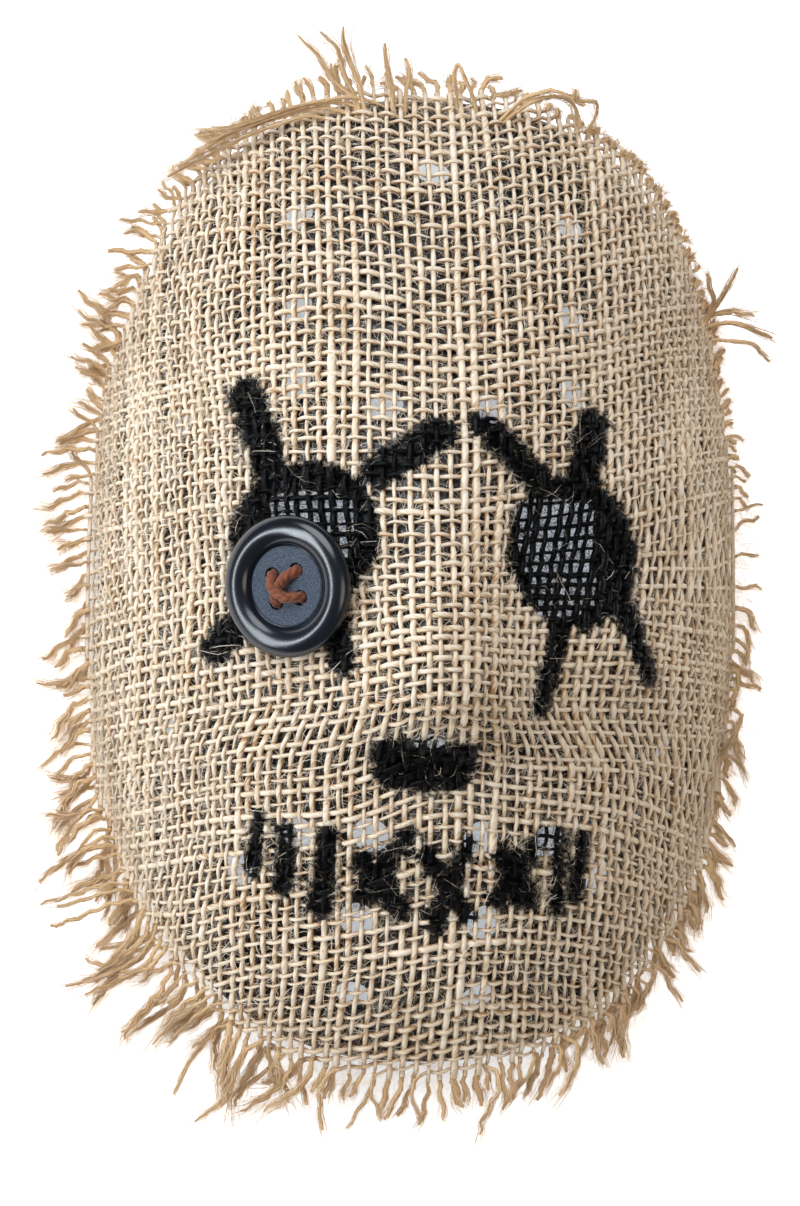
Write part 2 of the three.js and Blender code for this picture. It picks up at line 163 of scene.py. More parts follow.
# Long threads that hang out of the weave: points in millimetres, how thick and how far unspun
LOOSE_THREADS = [
    ([(76.0, 74.0, 7.0), (77.6, 77.5, 13.0), (76.0, 80.3, 18.0), (75.1, 84.1, 20.0)], 1.0, 0.2),
    ([(76.5, 73.0, 7.0), (79.3, 77.4, 14.0), (81.2, 80.5, 18.0), (83.0, 84.4, 21.0)], 1.1, 0.3),
    ([(77.0, 75.0, 8.0), (82.1, 74.9, 13.0), (85.2, 73.5, 15.0), (88.6, 73.2, 15.0)], 1.25, 0.7),
    ([(77.5, 72.6, 7.0), (82.3, 72.1, 12.0), (86.4, 70.9, 13.0), (90.4, 69.8, 11.0),
      (94.2, 69.2, 8.0)], 1.15, 0.4),
    ([(78.5, 68.9, 6.0), (82.6, 68.4, 10.0), (87.8, 67.9, 10.0), (90.5, 66.2, 7.0),
      (93.2, 64.8, 4.0)], 0.95, 0.2),
    ([(16.0, 118.5, 29.0), (20.0, 121.9, 31.0), (23.4, 124.9, 33.0), (27.0, 126.3, 35.0),
      (31.2, 127.1, 36.0), (37.2, 125.4, 34.0), (42.2, 125.5, 32.0), (42.4, 122.1, 29.0),
      (41.3, 117.9, 26.0)], 1.0, 0.1),
    ([(18.0, 119.0, 29.0), (21.7, 122.4, 31.0), (25.7, 124.9, 33.0), (29.8, 126.5, 34.0),
      (34.6, 126.7, 33.0), (37.3, 124.9, 31.0), (38.7, 121.0, 29.0)], 1.1, 0.4),
    ([(40.0, 124.4, 33.0), (37.6, 125.5, 34.0), (36.9, 126.6, 35.0), (36.8, 128.4, 36.0)], 1.1, 0.5),
    ([(12.5, 122.0, 28.0), (11.2, 125.4, 30.0), (9.5, 127.9, 32.0), (7.4, 131.9, 34.0), (6.2, 134.4, 34.0),
      (5.2, 132.3, 33.5), (5.9, 127.6, 31.0), (6.4, 123.5, 29.0)], 0.9, 0.1),
    ([(-14.0, 124.4, 28.0), (-22.6, 124.9, 31.0), (-34.5, 122.0, 33.0), (-46.2, 117.7, 33.0),
      (-58.2, 111.9, 31.0)], 1.1, 0.3),
    ([(-19.0, 122.6, 29.0), (-26.5, 123.2, 31.0), (-38.3, 120.0, 33.0), (-50.0, 116.0, 33.0),
      (-59.1, 114.9, 31.0)], 1.0, 0.4),
    ([(-22.0, 121.0, 29.0), (-29.5, 121.7, 31.0), (-42.1, 117.7, 32.0), (-54.5, 112.3, 30.0),
      (-65.2, 105.5, 26.0)], 1.15, 0.6),
    ([(-27.0, 119.5, 29.0), (-34.2, 119.0, 31.0), (-47.3, 114.0, 31.0), (-58.8, 108.5, 28.0),
      (-68.1, 104.6, 23.0)], 1.0, 0.8),
    ([(-19.5, 120.0, 28.0), (-20.7, 125.0, 30.0), (-26.8, 129.3, 32.0), (-30.2, 135.3, 33.0),
      (-35.0, 140.2, 33.0)], 1.2, 0.8),
    ([(-18.0, 120.0, 28.0), (-19.7, 125.1, 30.0), (-22.9, 130.5, 32.0), (-24.5, 136.6, 33.0),
      (-29.4, 141.5, 33.0)], 1.1, 0.6),
    ([(-16.5, 120.0, 28.0), (-18.2, 126.1, 30.0), (-20.9, 132.5, 32.0), (-23.5, 139.6, 33.0),
      (-23.0, 143.0, 33.0)], 1.1, 0.9),
    ([(-9.6, 120.0, 28.0), (-10.2, 126.0, 30.0), (-11.7, 132.7, 32.0), (-12.7, 138.8, 33.0)], 1.25, 0.5),
    ([(-6.9, 120.0, 28.0), (-6.8, 125.6, 30.0), (-5.8, 130.7, 31.0), (-6.5, 136.0, 31.0)], 1.1, 0.3),
    ([(46.0, -96.2, 15.0), (48.8, -98.2, 16.0), (52.7, -100.1, 17.0), (55.0, -105.2, 15.0),
      (54.3, -111.7, 11.0), (52.7, -119.2, 7.0)], 1.15, 0.5),
    ([(48.0, -96.0, 15.0), (50.8, -97.5, 16.0), (54.4, -100.8, 17.0), (56.2, -106.5, 16.0),
      (57.5, -111.0, 14.0), (56.2, -114.3, 12.0)], 0.9, 0.1),
    ([(58.5, -85.0, 11.0), (61.8, -87.3, 12.0), (64.9, -90.6, 12.0), (65.1, -95.1, 9.0),
      (64.7, -100.9, 5.0)], 1.1, 0.4),
    ([(-60.0, -88.0, 9.0), (-66.0, -93.0, 10.0), (-73.0, -96.0, 8.0), (-80.0, -97.5, 5.0)], 1.2, 0.5),
    ([(-44.0, -112.0, 16.0), (-50.0, -118.0, 14.0), (-56.0, -126.0, 10.0), (-60.0, -134.0, 7.0)], 1.0, 0.2),
    ([(-30.0, -121.0, 17.0), (-37.0, -128.0, 14.0), (-47.0, -136.0, 9.0), (-54.0, -141.0, 6.0)], 1.0, 0.3),
]

# Loose fibres of the weave: how many in each gap, their reach, and how low and high they stand (mm)
GAP_FIBRES = [(2.15, 1.3, -0.6, 0.4), (2.0, 1.9, -0.5, 0.8)]
NAP_FIBRES = [(2.1, 1.9, 0.1, 1.0), (0.9, 3.8, 0.3, 1.7)]

# How near the stage the middle of a thread, of a frayed fibre and of an edge hair may come
THREAD_STOP = 0.7 * MM
FIBRE_STOP = 0.3 * MM
EDGE_HAIR_STOP = 0.25 * MM

# Half the thickness of a ply of the fringe whose run has radius 1
PLY = 0.5 * MM

# How unlike the threads are in thickness and tone, from one to the next and along each, how uneven
# the paint's edge is on them (mm), and how slim the warps are at the far left
THICKNESS_SPREAD, THICKNESS_DRIFT = 0.19, 0.15
TONE_SPREAD, TONE_DRIFT = 0.25, 0.3
PAINT_SPREAD = 0.55
SLIM_WARPS = 0.75

# How far whole threads lie from their place, and how far they sway along their way
WARP_MISPLACED, WARP_SWAY = 0.16 * MM, 0.22 * MM
WEFT_MISPLACED, WEFT_SWAY = 0.20 * MM, 0.26 * MM

# The way the button faces, the top of the jute over the shell, and the button's gap over it
BUTTON_FACING = Vector((-0.64, -0.19, 1)).normalized()
JUTE_TOP = 1.6 * MM
BUTTON_GAP = 0.3 * MM

# Groove between the button's rim and disc: how far inside the rim and below the disc its points are (mm)
DISC_GROOVE = [(0.05, 0.22), (0.25, 0.30), (0.42, 0.26), (0.60, 0.10), (0.75, 0.0)]

# The cord's two runs: from and to which hole, how high over the disc, and how far they bow aside (mm)
CORD_RUNS = [(1, 3, 1.45, (-1.2, 0.2)), (0, 2, 2.0, (-1.3, -1.5))]

# The camera's own axes in the photograph's view, how far its sight passes beside the middle of the
# face, and the height that it looks at
CAMERA_RIGHT = Vector((0.99638, 0.01901, 0.08285))
CAMERA_UP = Vector((-0.03030, 0.99009, 0.13716))
CAMERA_BACK = Vector((-0.07942, -0.13917, 0.98708))
SIGHT_RIGHT = -0.00614
SIGHT_UP = -0.00818
SIGHT_LEVEL = 0.035

# Soft lights: name, setting of its power, place, width and length, tint, and the way its length stands
LIGHTS = [
    ("Key light", "key_power", (-0.55, 0.95, 1.35), (1.3, 1.3), (0.87, 0.925, 1.0), (0.1, 1, 0.1)),
    ("Side light", "side_power", (-1.3, -0.2, 0.75), (0.18, 1.5), (0.84, 0.92, 1.0), (0.28, 0.83, 0.49)),
    ("Front light", "front_power", (0.55, -0.5, 1.6), (1.0, 1.0), (1.0, 0.875, 0.73), (0.1, 1, 0.1)),
]
BACKDROP_TINT = (0.93, 0.96, 1.0, 1.0)


def form():
    return bpy.context.scene.doll_face


def weave():
    return bpy.context.scene.doll_jute


def stud():
    return bpy.context.scene.doll_button


def studio():
    return bpy.context.scene.doll_studio


# Shape of the face


def smooth(start, end, value):
    share = np.clip((value - start) / (end - start), 0, 1)
    return share * share * (3 - 2 * share)


def blend(start, end, share):
    return start + (end - start) * share


def bell(value, middle, reach):
    return np.exp(-(((value - middle) / reach) ** 2))


def unit(vectors):
    """Each vector with length 1. A vector without length stays as it is."""
    return vectors / np.maximum(np.linalg.norm(vectors, axis=-1, keepdims=True), 1e-12)


def face_shift():
    """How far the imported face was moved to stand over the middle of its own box."""
    low, high = SHELL_BOX
    middle_y = (form().top_reach - form().chin_reach) / 2
    return Vector(((low[0] + high[0]) / 2, (low[1] + high[1]) / 2 - middle_y, 0))


def rim_distance(x, y):
    """0 in the middle of the face and 1 on its rim."""
    power = np.where(y >= 0, TOP_ROUNDNESS, CHIN_ROUNDNESS)
    reach = np.where(y >= 0, form().top_reach, form().chin_reach)
    return (np.abs(x / form().half_width) ** power + np.abs(y / reach) ** power) ** (1 / power)


def rim_point(angle):
    reach = 1 / rim_distance(np.cos(angle), np.sin(angle))
    return reach * np.cos(angle), reach * np.sin(angle)


def end_share(angle):
    """0 along the sides and 1 at the top of the head and the chin."""
    y = rim_point(angle)[1]
    return np.abs(y) / np.where(y >= 0, form().top_reach, form().chin_reach)


def rim_lift(angle):
    lift = np.where(np.sin(angle) >= 0, form().top_lift, form().chin_lift)
    return lift * smooth(FLAT_SIDES, 1, end_share(angle))


def nose_height(x, y):
    below = smooth(NOSE["under"], NOSE["tip"], y)
    climb = smooth(NOSE["tip"], NOSE["top"], y)
    spread = blend(NOSE["wide"], NOSE["slim"], climb)
    along = np.where(y > NOSE["tip"], 1 - climb, below)
    return NOSE["rise"] * along * bell(x, 0, spread)


def face_height(x, y, last=1.0, relief=True):
    """The shell's front. Past the share last of the rim the dome goes on straight."""
    distance = rim_distance(x, y)
    angle = np.arctan2(y, x)
    lift = rim_lift(angle)
    curl = blend(SIDE_CURL, END_CURL, smooth(CURL_START, 1, end_share(angle)))
    edge = np.sqrt(1 - curl)
    inner = np.minimum(distance, last)
    root = np.sqrt(1 - curl * inner * inner)
    dome = (root - edge - curl * inner / root * (distance - inner)) / (1 - edge)
    height = lift + (form().front_height - lift) * dome
    if not relief:
        return height
    raised = nose_height(x, y)
    for rise, middle_x, middle_y, size_x, size_y in SWELLS:
        raised = raised + rise * np.exp(-(((x - middle_x) / size_x) ** 2) - ((y - middle_y) / size_y) ** 2)
    return height + raised * (1 - smooth(RELIEF_EDGE, 1, distance))


def slopes(height, x, y, step=2e-5):
    slope_x = (height(x + step, y) - height(x - step, y)) / (2 * step)
    slope_y = (height(x, y + step) - height(x, y - step)) / (2 * step)
    return slope_x, slope_y


def normals(height, x, y):
    slope_x, slope_y = slopes(height, x, y)
    normal = np.stack([-slope_x, -slope_y, np.ones_like(slope_x)], -1)
    return unit(normal)


def past_rim(x, y):
    """Metres outside the rim, below 0 inside it."""
    slope_x, slope_y = slopes(rim_distance, x, y)
    return (rim_distance(x, y) - 1) / np.hypot(slope_x, slope_y)


def cloth_height(x, y, relief=True):
    """Middle of the jute's thickness: it follows the dome and flares over the rim into the hem."""
    def dome(x, y):
        return face_height(x, y, DOME_HOLD, relief)

    angle = np.arctan2(y, x)
    slope = np.hypot(*slopes(dome, x, y))
    over = dome(x, y) + weave().rest_height * np.sqrt(1 + slope * slope)
    droop = form().hem_droop * smooth(FLAT_SIDES, 1, end_share(angle))
    hem = rim_lift(angle) + weave().rest_height - np.tan(droop) * np.maximum(past_rim(x, y), 0)
    fillet = 2 * MM
    overlap = np.maximum(fillet - np.abs(over - hem), 0)
    return np.maximum(over, hem) + overlap * overlap / (4 * fillet)


def hem_reach(angle):
    """How far past the rim the jute is still woven. The cut is uneven."""
    ends = smooth(FLAT_SIDES, 1, end_share(angle))
    uneven = sum(size * np.sin(angle * count + start) for count, start, size in HEM_WAVES)
    return blend(weave().side_hem, weave().end_hem, ends) + weave().hem_unevenness * uneven / 2


# Paint soaked into the jute


def stroke_distance(x, y, start, end, start_width, end_width):
    along = np.array(end) - start
    share = np.clip(((x - start[0]) * along[0] + (y - start[1]) * along[1]) / (along @ along), 0, 1)
    away = np.hypot(x - start[0] - share * along[0], y - start[1] - share * along[1])
    return away - blend(start_width, end_width, share) / 2


def block_distance(x, y, corners):
    """Signed distance to a block with straight sides and soft corners."""
    away = np.full_like(x, np.inf)
    inside = np.zeros(x.shape, bool)
    for (ax, ay), (bx, by) in zip(corners, corners[1:] + corners[:1]):
        away = np.minimum(away, stroke_distance(x, y, (ax, ay), (bx, by), 0, 0))
        crosses = ((ay > y) != (by > y)) & (x < (bx - ax) * (y - ay) / (by - ay + 1e-9) + ax)
        inside ^= crosses
    return np.where(inside, -away, away)


def ink_distance(x, y):
    """Millimetres outside the nearest painted stroke, below 0 inside it."""
    x, y = x / MM, y / MM
    nearest = block_distance(x, y, NOSE_BLOCK)
    for middle_x, middle_y, reach_x, reach_y in EYE_DISCS:
        away = np.hypot((x - middle_x) / reach_x, (y - middle_y) / reach_y) - 1
        nearest = np.minimum(nearest, away * min(reach_x, reach_y))
    for start, end, start_width, end_width in EYE_RAYS + STITCHES:
        nearest = np.minimum(nearest, stroke_distance(x, y, start, end, start_width, end_width))
    return np.clip(nearest - PAINT_SOAK, -UNPAINTED, UNPAINTED)


# Threads as curves that become meshes


class Run:
    """One thread: its points, the way its upper side faces, its radius, and values along it."""

    def __init__(self, points, facing, radius, **values):
        self.points = np.asarray(points, float)
        self.facing = facing
        self.radius = np.broadcast_to(radius, len(self.points)).astype(float)
        self.values = {
            name: np.broadcast_to(value, len(self.points)).astype(float) for name, value in values.items()
        }

    def tangents(self):
        return unit(np.gradient(self.points, axis=0))

    def tilt(self):
        """The turn about the thread from Blender's upright twist to the thread's own facing."""
        along = self.tangents()
        upright = unit(np.array([0, 0, 1]) - along * along[:, 2:])
        turned = np.cross(upright, self.facing)
        return np.arctan2((turned * along).sum(1), (upright * self.facing).sum(1))

    def lengths(self):
        steps = np.linalg.norm(np.diff(self.points, axis=0), axis=1)
        return np.concatenate([[0], np.cumsum(steps)])


def section(sides, half_width, half_height):
    """A thread's cross-section, with its seam on the under side."""
    curve = bpy.data.curves.new("thread section", "CURVE")
    curve.dimensions = "2D"
    spline = curve.splines.new("POLY")
    spline.points.add(sides - 1)
    spline.use_cyclic_u = True
    for number, point in enumerate(spline.points):
        turn = -math.pi / 2 + math.tau * number / sides
        point.co = (half_width * math.cos(turn), half_height * math.sin(turn), 0, 1)
    holder = bpy.data.objects.new("thread section", curve)
    bpy.context.scene.collection.objects.link(holder)
    return holder


def thread_mesh(name, runs, half_width, half_height=0.0, sides=2):
    """Lays every run as one spline and turns them all into one mesh with values on its points.
    A run without a height is a flat ribbon."""
    curve = bpy.data.curves.new(name, "CURVE")
    curve.dimensions = "3D"
    curve.twist_mode = "Z_UP"
    holder = None
    ribbon = half_height == 0.0
    if ribbon:
        curve.extrude = half_width
    else:
        holder = section(sides, half_width, half_height)
        curve.bevel_mode = "OBJECT"
        curve.bevel_object = holder
        curve.use_fill_caps = True
    for run in runs:
        spline = curve.splines.new("POLY")
        spline.points.add(len(run.points) - 1)
        places = np.ones((len(run.points), 4))
        places[:, :3] = run.points
        spline.points.foreach_set("co", places.ravel())
        spline.points.foreach_set("radius", run.radius)
        spline.points.foreach_set("tilt", run.tilt())
        spline.use_smooth = True
    draft = bpy.data.objects.new(name, curve)
    bpy.context.scene.collection.objects.link(draft)
    bpy.context.view_layer.update()
    graph = bpy.context.evaluated_depsgraph_get()
    mesh = bpy.data.meshes.new_from_object(draft.evaluated_get(graph), depsgraph=graph)
    bpy.data.objects.remove(draft)
    bpy.data.curves.remove(curve)
    if holder:
        bpy.data.objects.remove(holder)

    def spread(values):
        tube = np.repeat(np.concatenate(values), sides)
        if ribbon:
            return tube
        ends = [value for run_values in reversed(values) for value in (run_values[-1], run_values[0])]
        return np.concatenate([np.repeat(ends, sides), tube])

    for run in runs:
        run.values["along"] = run.lengths()
    for value_name in runs[0].values:
        values = spread([run.values[value_name] for run in runs])
        if len(values) != len(mesh.vertices):
            raise RuntimeError(f"{name}: {len(values)} values for {len(mesh.vertices)} points")
        if value_name == "along":
            along = values
            continue
        mesh.attributes.new(value_name, "FLOAT", "POINT").data.foreach_set("value", values.astype(np.float32))
    if not ribbon:
        corners = np.empty(len(mesh.loops), np.int32)
        mesh.loops.foreach_get("vertex_index", corners)
        layer = mesh.uv_layers[0]
        places = np.empty(2 * len(corners), np.float32)
        layer.data.foreach_get("uv", places)
        places[0::2] = places[1::2]
        places[1::2] = along[corners] * UV_PER_METRE
        layer.data.foreach_set("uv", places)
        shape = bmesh.new()
        shape.from_mesh(mesh)
        bmesh.ops.remove_doubles(shape, verts=shape.verts, dist=SAME_POINT)
        shape.to_mesh(mesh)
        shape.free()
    mesh.name = name
    mesh.validate()
    return mesh


def add_piece(name, mesh, looks, node):
    """Puts a finished mesh into the scene as a piece that rides on the frame."""
    piece = bpy.data.objects.new(name, mesh)
    bpy.context.scene.collection.objects.link(piece)
    slots = np.zeros(len(mesh.polygons), np.int32)
    mesh.polygons.foreach_get("material_index", slots)
    mesh.materials.clear()
    for look in looks:
        mesh.materials.append(look)
    mesh.polygons.foreach_set("material_index", np.minimum(slots, len(mesh.materials) - 1))
    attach(piece, BODY)
    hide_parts(node)
    return piece


def shifted(x, y, z):
    shift = face_shift()
    return np.stack([x + shift.x, y + shift.y, z + shift.z], -1)


def floor_stop(points, lowest=FIBRE_STOP):
    """The same points, none of them sunk into the stage."""
    points[:, 2] = np.maximum(points[:, 2], lowest)
    return points


# The weave


def looseness(across, place):
    """How much wider than the pitch the threads stand: warps beside the nose, wefts at both ends.
    At the sides the warps stand closer."""
    if across == "x":
        beside_nose = 0.13 * bell(place, -14 * MM, 28 * MM)
        left = 0.22 * smooth(-30 * MM, -60 * MM, place)
        right = 0.07 * smooth(35 * MM, 60 * MM, place)
        return beside_nose - left - right
    head = 0.24 * smooth(35 * MM, 105 * MM, place)
    chin = 0.10 * smooth(-60 * MM, -95 * MM, place)
    return head + chin


def thread_places(across, reach):
    """Where the threads stand in plan, from middle to edge, a pitch apart along the cloth."""
    fine = np.linspace(0, reach, 3000)
    level = np.zeros_like(fine)
    sides = []
    for sign in (-1, 1):
        x, y = (sign * fine, level) if across == "x" else (level, sign * fine)
        height = cloth_height(x, y, relief=False)
        steps = np.hypot(np.diff(fine), np.diff(height)) / (1 + looseness(across, sign * fine[1:]))
        travel = np.concatenate([[0], np.cumsum(steps)])
        pitches = np.arange(1, int(travel[-1] / weave().pitch) + 1) * weave().pitch
        sides.append(sign * np.interp(pitches, travel, fine))
    return np.concatenate([sides[0][::-1], [0], sides[1]])


def taken_up(across, x, y, start):
    """How much more cloth than the plain dome the relief takes, on a straight way from the start line."""
    samples = 40
    steps = (np.arange(samples)[:, None, None] + 0.5) / samples
    axis = 0 if across == "x" else 1
    line = [x + 0 * steps, y + 0 * steps]
    line[axis] = blend(start, (x, y)[axis], steps)
    more = 0
    for relief, sign in ((True, 1), (False, -1)):
        slope = slopes(lambda x, y: face_height(x, y, DOME_HOLD, relief), *line)[axis]
        more = more + sign * np.sqrt(1 + slope * slope).mean(0)
    return more * ((x, y)[axis] - start)


def drift(rng, threads, crossings, every, size):
    """A slow wander along each thread, its own for every thread."""
    knots = crossings // every + 3
    rough = rng.normal(0, size, (threads, knots))
    place = np.arange(crossings) / every
    low = place.astype(int)
    share = smooth(0, 1, place - low)
    return rough[:, low] * (1 - share) + rough[:, low + 1] * share


def climb_past(value, start, soft=6 * MM):
    """0 before the start and a steady climb past it, with a soft bend between them."""
    return soft * np.logaddexp(0, (value - start) / soft)


def weft_slant(x, y):
    """How far the wefts stand above level: a dip over the brow, a climb to the right, most at the temple."""
    jaw_share = smooth(-40 * MM, -65 * MM, y)
    dip = -3.2 * MM * bell(x, 3 * MM, 20 * MM) * smooth(-35 * MM, 10 * MM, y)
    climb = blend(0.10, 0.05, smooth(-40 * MM, 10 * MM, y)) * x
    temple = 0.40 * climb_past(x, 36 * MM) * smooth(-15 * MM, 25 * MM, y)
    jaw = -0.30 * climb_past(x, 42 * MM) * jaw_share
    mouth = 0.12 * x * bell(x, 0, 25 * MM) * jaw_share
    return dip + climb + temple + jaw + mouth


def lay_crossings():
    """Plan places of all crossings, warp by weft, and which of them lie on the cloth."""
    rng = np.random.default_rng(11)
    side_spare, end_spare = 12 * MM, 26 * MM
    warp_x = thread_places("x", form().half_width + side_spare)
    weft_y = thread_places("y", max(form().top_reach, form().chin_reach) + end_spare)
    warps, wefts = len(warp_x), len(weft_y)
    warp_x = warp_x + rng.normal(0, WARP_MISPLACED, warps)
    weft_y = weft_y + rng.normal(0, WEFT_MISPLACED, wefts)
    warp_sway = drift(rng, warps, wefts, 7, WARP_SWAY)
    weft_sway = drift(rng, wefts, warps, 7, WEFT_SWAY).T
    pull = drift(rng, 1, warps, 9, 0.5 * MM)[0][:, None] * drift(rng, 1, wefts, 11, 0.9)[0][None, :]
    flat_x = np.repeat(warp_x[:, None], wefts, 1)
    flat_y = np.repeat(weft_y[None, :], warps, 0)
    x, y = flat_x, flat_y
    rounds, settling = 7, 0.6
    left_hold, length_hold = 0.65, 0.35
    lean = 0.012
    for _ in range(rounds):
        side_hold = smooth(85 * MM, 30 * MM, np.abs(x)) * blend(left_hold, 1, smooth(-10 * MM, 20 * MM, x))
        end_hold = length_hold * smooth(100 * MM, 60 * MM, np.abs(y))
        drawn_x = taken_up("x", x, y, 0.0) * side_hold
        drawn_y = taken_up("y", x, y, NOSE["top"]) * end_hold
        x = blend(x, flat_x - drawn_x - lean * y + warp_sway + pull, settling)
        y = blend(y, flat_y - drawn_y + weft_slant(x, y) + weft_sway + pull, settling)
    edge = hem_reach(np.arctan2(y, x))
    return x, y, past_rim(x, y) < edge


def through(values, place):
    """Values at places between whole numbers, on a smooth line through all of them."""
    low = np.clip(np.floor(place).astype(int), 0, len(values) - 2)
    share = place - low
    before = values[np.maximum(low - 1, 0)]
    start, end = values[low], values[low + 1]
    after = values[np.minimum(low + 2, len(values) - 1)]
    bend_in, bend_out = (end - before) / 2, (after - start) / 2
    squared, cubed = share**2, share**3
    return (
        (2 * cubed - 3 * squared + 1) * start + (cubed - 2 * squared + share) * bend_in
        + (3 * squared - 2 * cubed) * end + (cubed - squared) * bend_out
    )


def line_through(knots, place):
    """The same for points in space."""
    return np.stack([through(axis, place) for axis in knots.T], -1)


def line_between(values, share, place):
    """Vectors at places between the points of a line, each a share of its way."""
    return np.stack([np.interp(place, share, axis) for axis in values.T], -1)


def slub_share(kind, plan_x, plan_y):
    """How much a thread swells and how much paler it is where it is loosely spun."""
    across, along = (plan_x, plan_y) if kind == "warp" else (plan_y, plan_x)
    swell, pale = np.zeros_like(across), np.zeros_like(across)
    for slub_kind, place, start, end, extra, paleness in SLUBS:
        if slub_kind == kind:
            near = smooth(0.66, 0.36, np.abs(across.mean() / MM - place) * MM / weave().pitch)
            stretch = smooth(start - 4, start + 1, along / MM) * smooth(end + 4, end - 1, along / MM)
            swell, pale = swell + extra * near * stretch, pale + paleness * near * stretch
    return swell, pale


def thread_runs(kind, x, y, woven, lift, rng, half_width):
    """One run for each thread of one direction, waved over and under the other direction."""
    runs, ends = [], []
    threads, crossings = x.shape
    whole = np.arange(crossings)
    thickness = np.clip(1 + rng.normal(0, THICKNESS_SPREAD, threads), 0.66, 1.5)
    tones = rng.normal(0, TONE_SPREAD, threads)
    slubs = drift(rng, threads, crossings, 4, THICKNESS_DRIFT)
    tone_drift = drift(rng, threads, crossings, 5, TONE_DRIFT)
    ink_spread = rng.normal(0, PAINT_SPREAD, (threads, crossings))
    for number in range(threads):
        here = np.flatnonzero(woven[number])
        if len(here) < 3:
            continue
        first, last = here[0], here[-1]
        place = np.arange(first * 3 - 2, last * 3 + 3) / 3
        plan_x, plan_y = through(x[number], place), through(y[number], place)
        height = cloth_height(plan_x, plan_y)
        normal = normals(cloth_height, plan_x, plan_y)
        side = 1 if (number % 2 == 0) == (kind == "warp") else -1
        extra, pale = slub_share(kind, plan_x, plan_y)
        wave = side * np.cos(math.pi * place) * lift * (1 + rng.normal(0, 0.08, len(place)))
        points = shifted(plan_x, plan_y, height) + normal * wave[:, None]
        floor_stop(points, THREAD_STOP)
        swell = 1 + np.interp(place, whole, slubs[number])
        swell = swell + 0.02 * np.cos(2 * math.pi * place) + rng.normal(0, 0.022, len(place))
        ink = ink_distance(plan_x, plan_y) + np.interp(place, whole, ink_spread[number])
        stiff = 0.12 * smooth(0.5, -0.5, ink)
        if kind == "warp":
            swell = swell * blend(1, SLIM_WARPS, smooth(-30 * MM, -70 * MM, plan_x))
        radius = np.clip(thickness[number] * swell, 0.5, 1.7) * (1 + extra + stiff)
        tone = tones[number] + np.interp(place, whole, tone_drift[number]) + pale
        # high is +1 over a crossing and -1 under it; the jute material draws painted shade where a thread
        # dips
        run = Run(points, normal, radius, tone=tone, high=wave / lift, ink=ink)
        runs.append(run)
        for end, inward, sign in ((0, 1, -1), (-1, -2, 1)):
            ends.append({
                "side": (kind, sign), "point": points[end], "heading": unit(points[end] - points[inward]),
                "plan": (plan_x[end], plan_y[end]), "radius": radius[end] * half_width, "tone": tones[number],
            })
    return runs, ends


# Fringe of untwisted thread ends


def fringe_at(angle):
    """Length, heading of the tips and looseness of the fringe at an angle round the face."""
    degrees = np.degrees(angle) % 360
    table = np.concatenate([FRINGE, FRINGE[:1]])
    anchors = np.append(FRINGE[:, 0], 360)
    heading = np.unwrap(np.radians(table[:, 2]))
    return tuple(np.interp(degrees, anchors, one) for one in (table[:, 1] * MM, heading, table[:, 3]))


def turn_towards(heading, goal, share):
    away = (goal - heading + math.pi) % math.tau - math.pi
    return heading + away * share


def fringe_line(end, length, goal, droop, curl, steps, rng):
    """The middle line of one frayed end, bending from the thread's own way to where it falls."""
    start = math.atan2(end["heading"][1], end["heading"][0])
    step = length / (steps - 1)
    crimp, phase = rng.uniform(0.15, 0.6), rng.uniform(0, math.tau)
    slope = math.asin(max(-0.8, min(0.8, end["heading"][2])))
    points = [end["point"]]
    bend = goal
    for number in range(1, steps):
        share = number / (steps - 1)
        bend += curl / steps
        wave = math.cos(phase + math.tau * number * step / (2 * weave().pitch))
        heading = turn_towards(start, bend, smooth(0, 0.6, share) * 0.9) + crimp * wave
        pitch = blend(slope, droop, smooth(0, 0.5, share))
        move = (math.cos(heading) * math.cos(pitch), math.sin(heading) * math.cos(pitch), math.sin(pitch))
        place = points[-1] + np.array(move) * step
        place[2] = max(place[2], THREAD_STOP)
        points.append(place)
    return np.array(points)


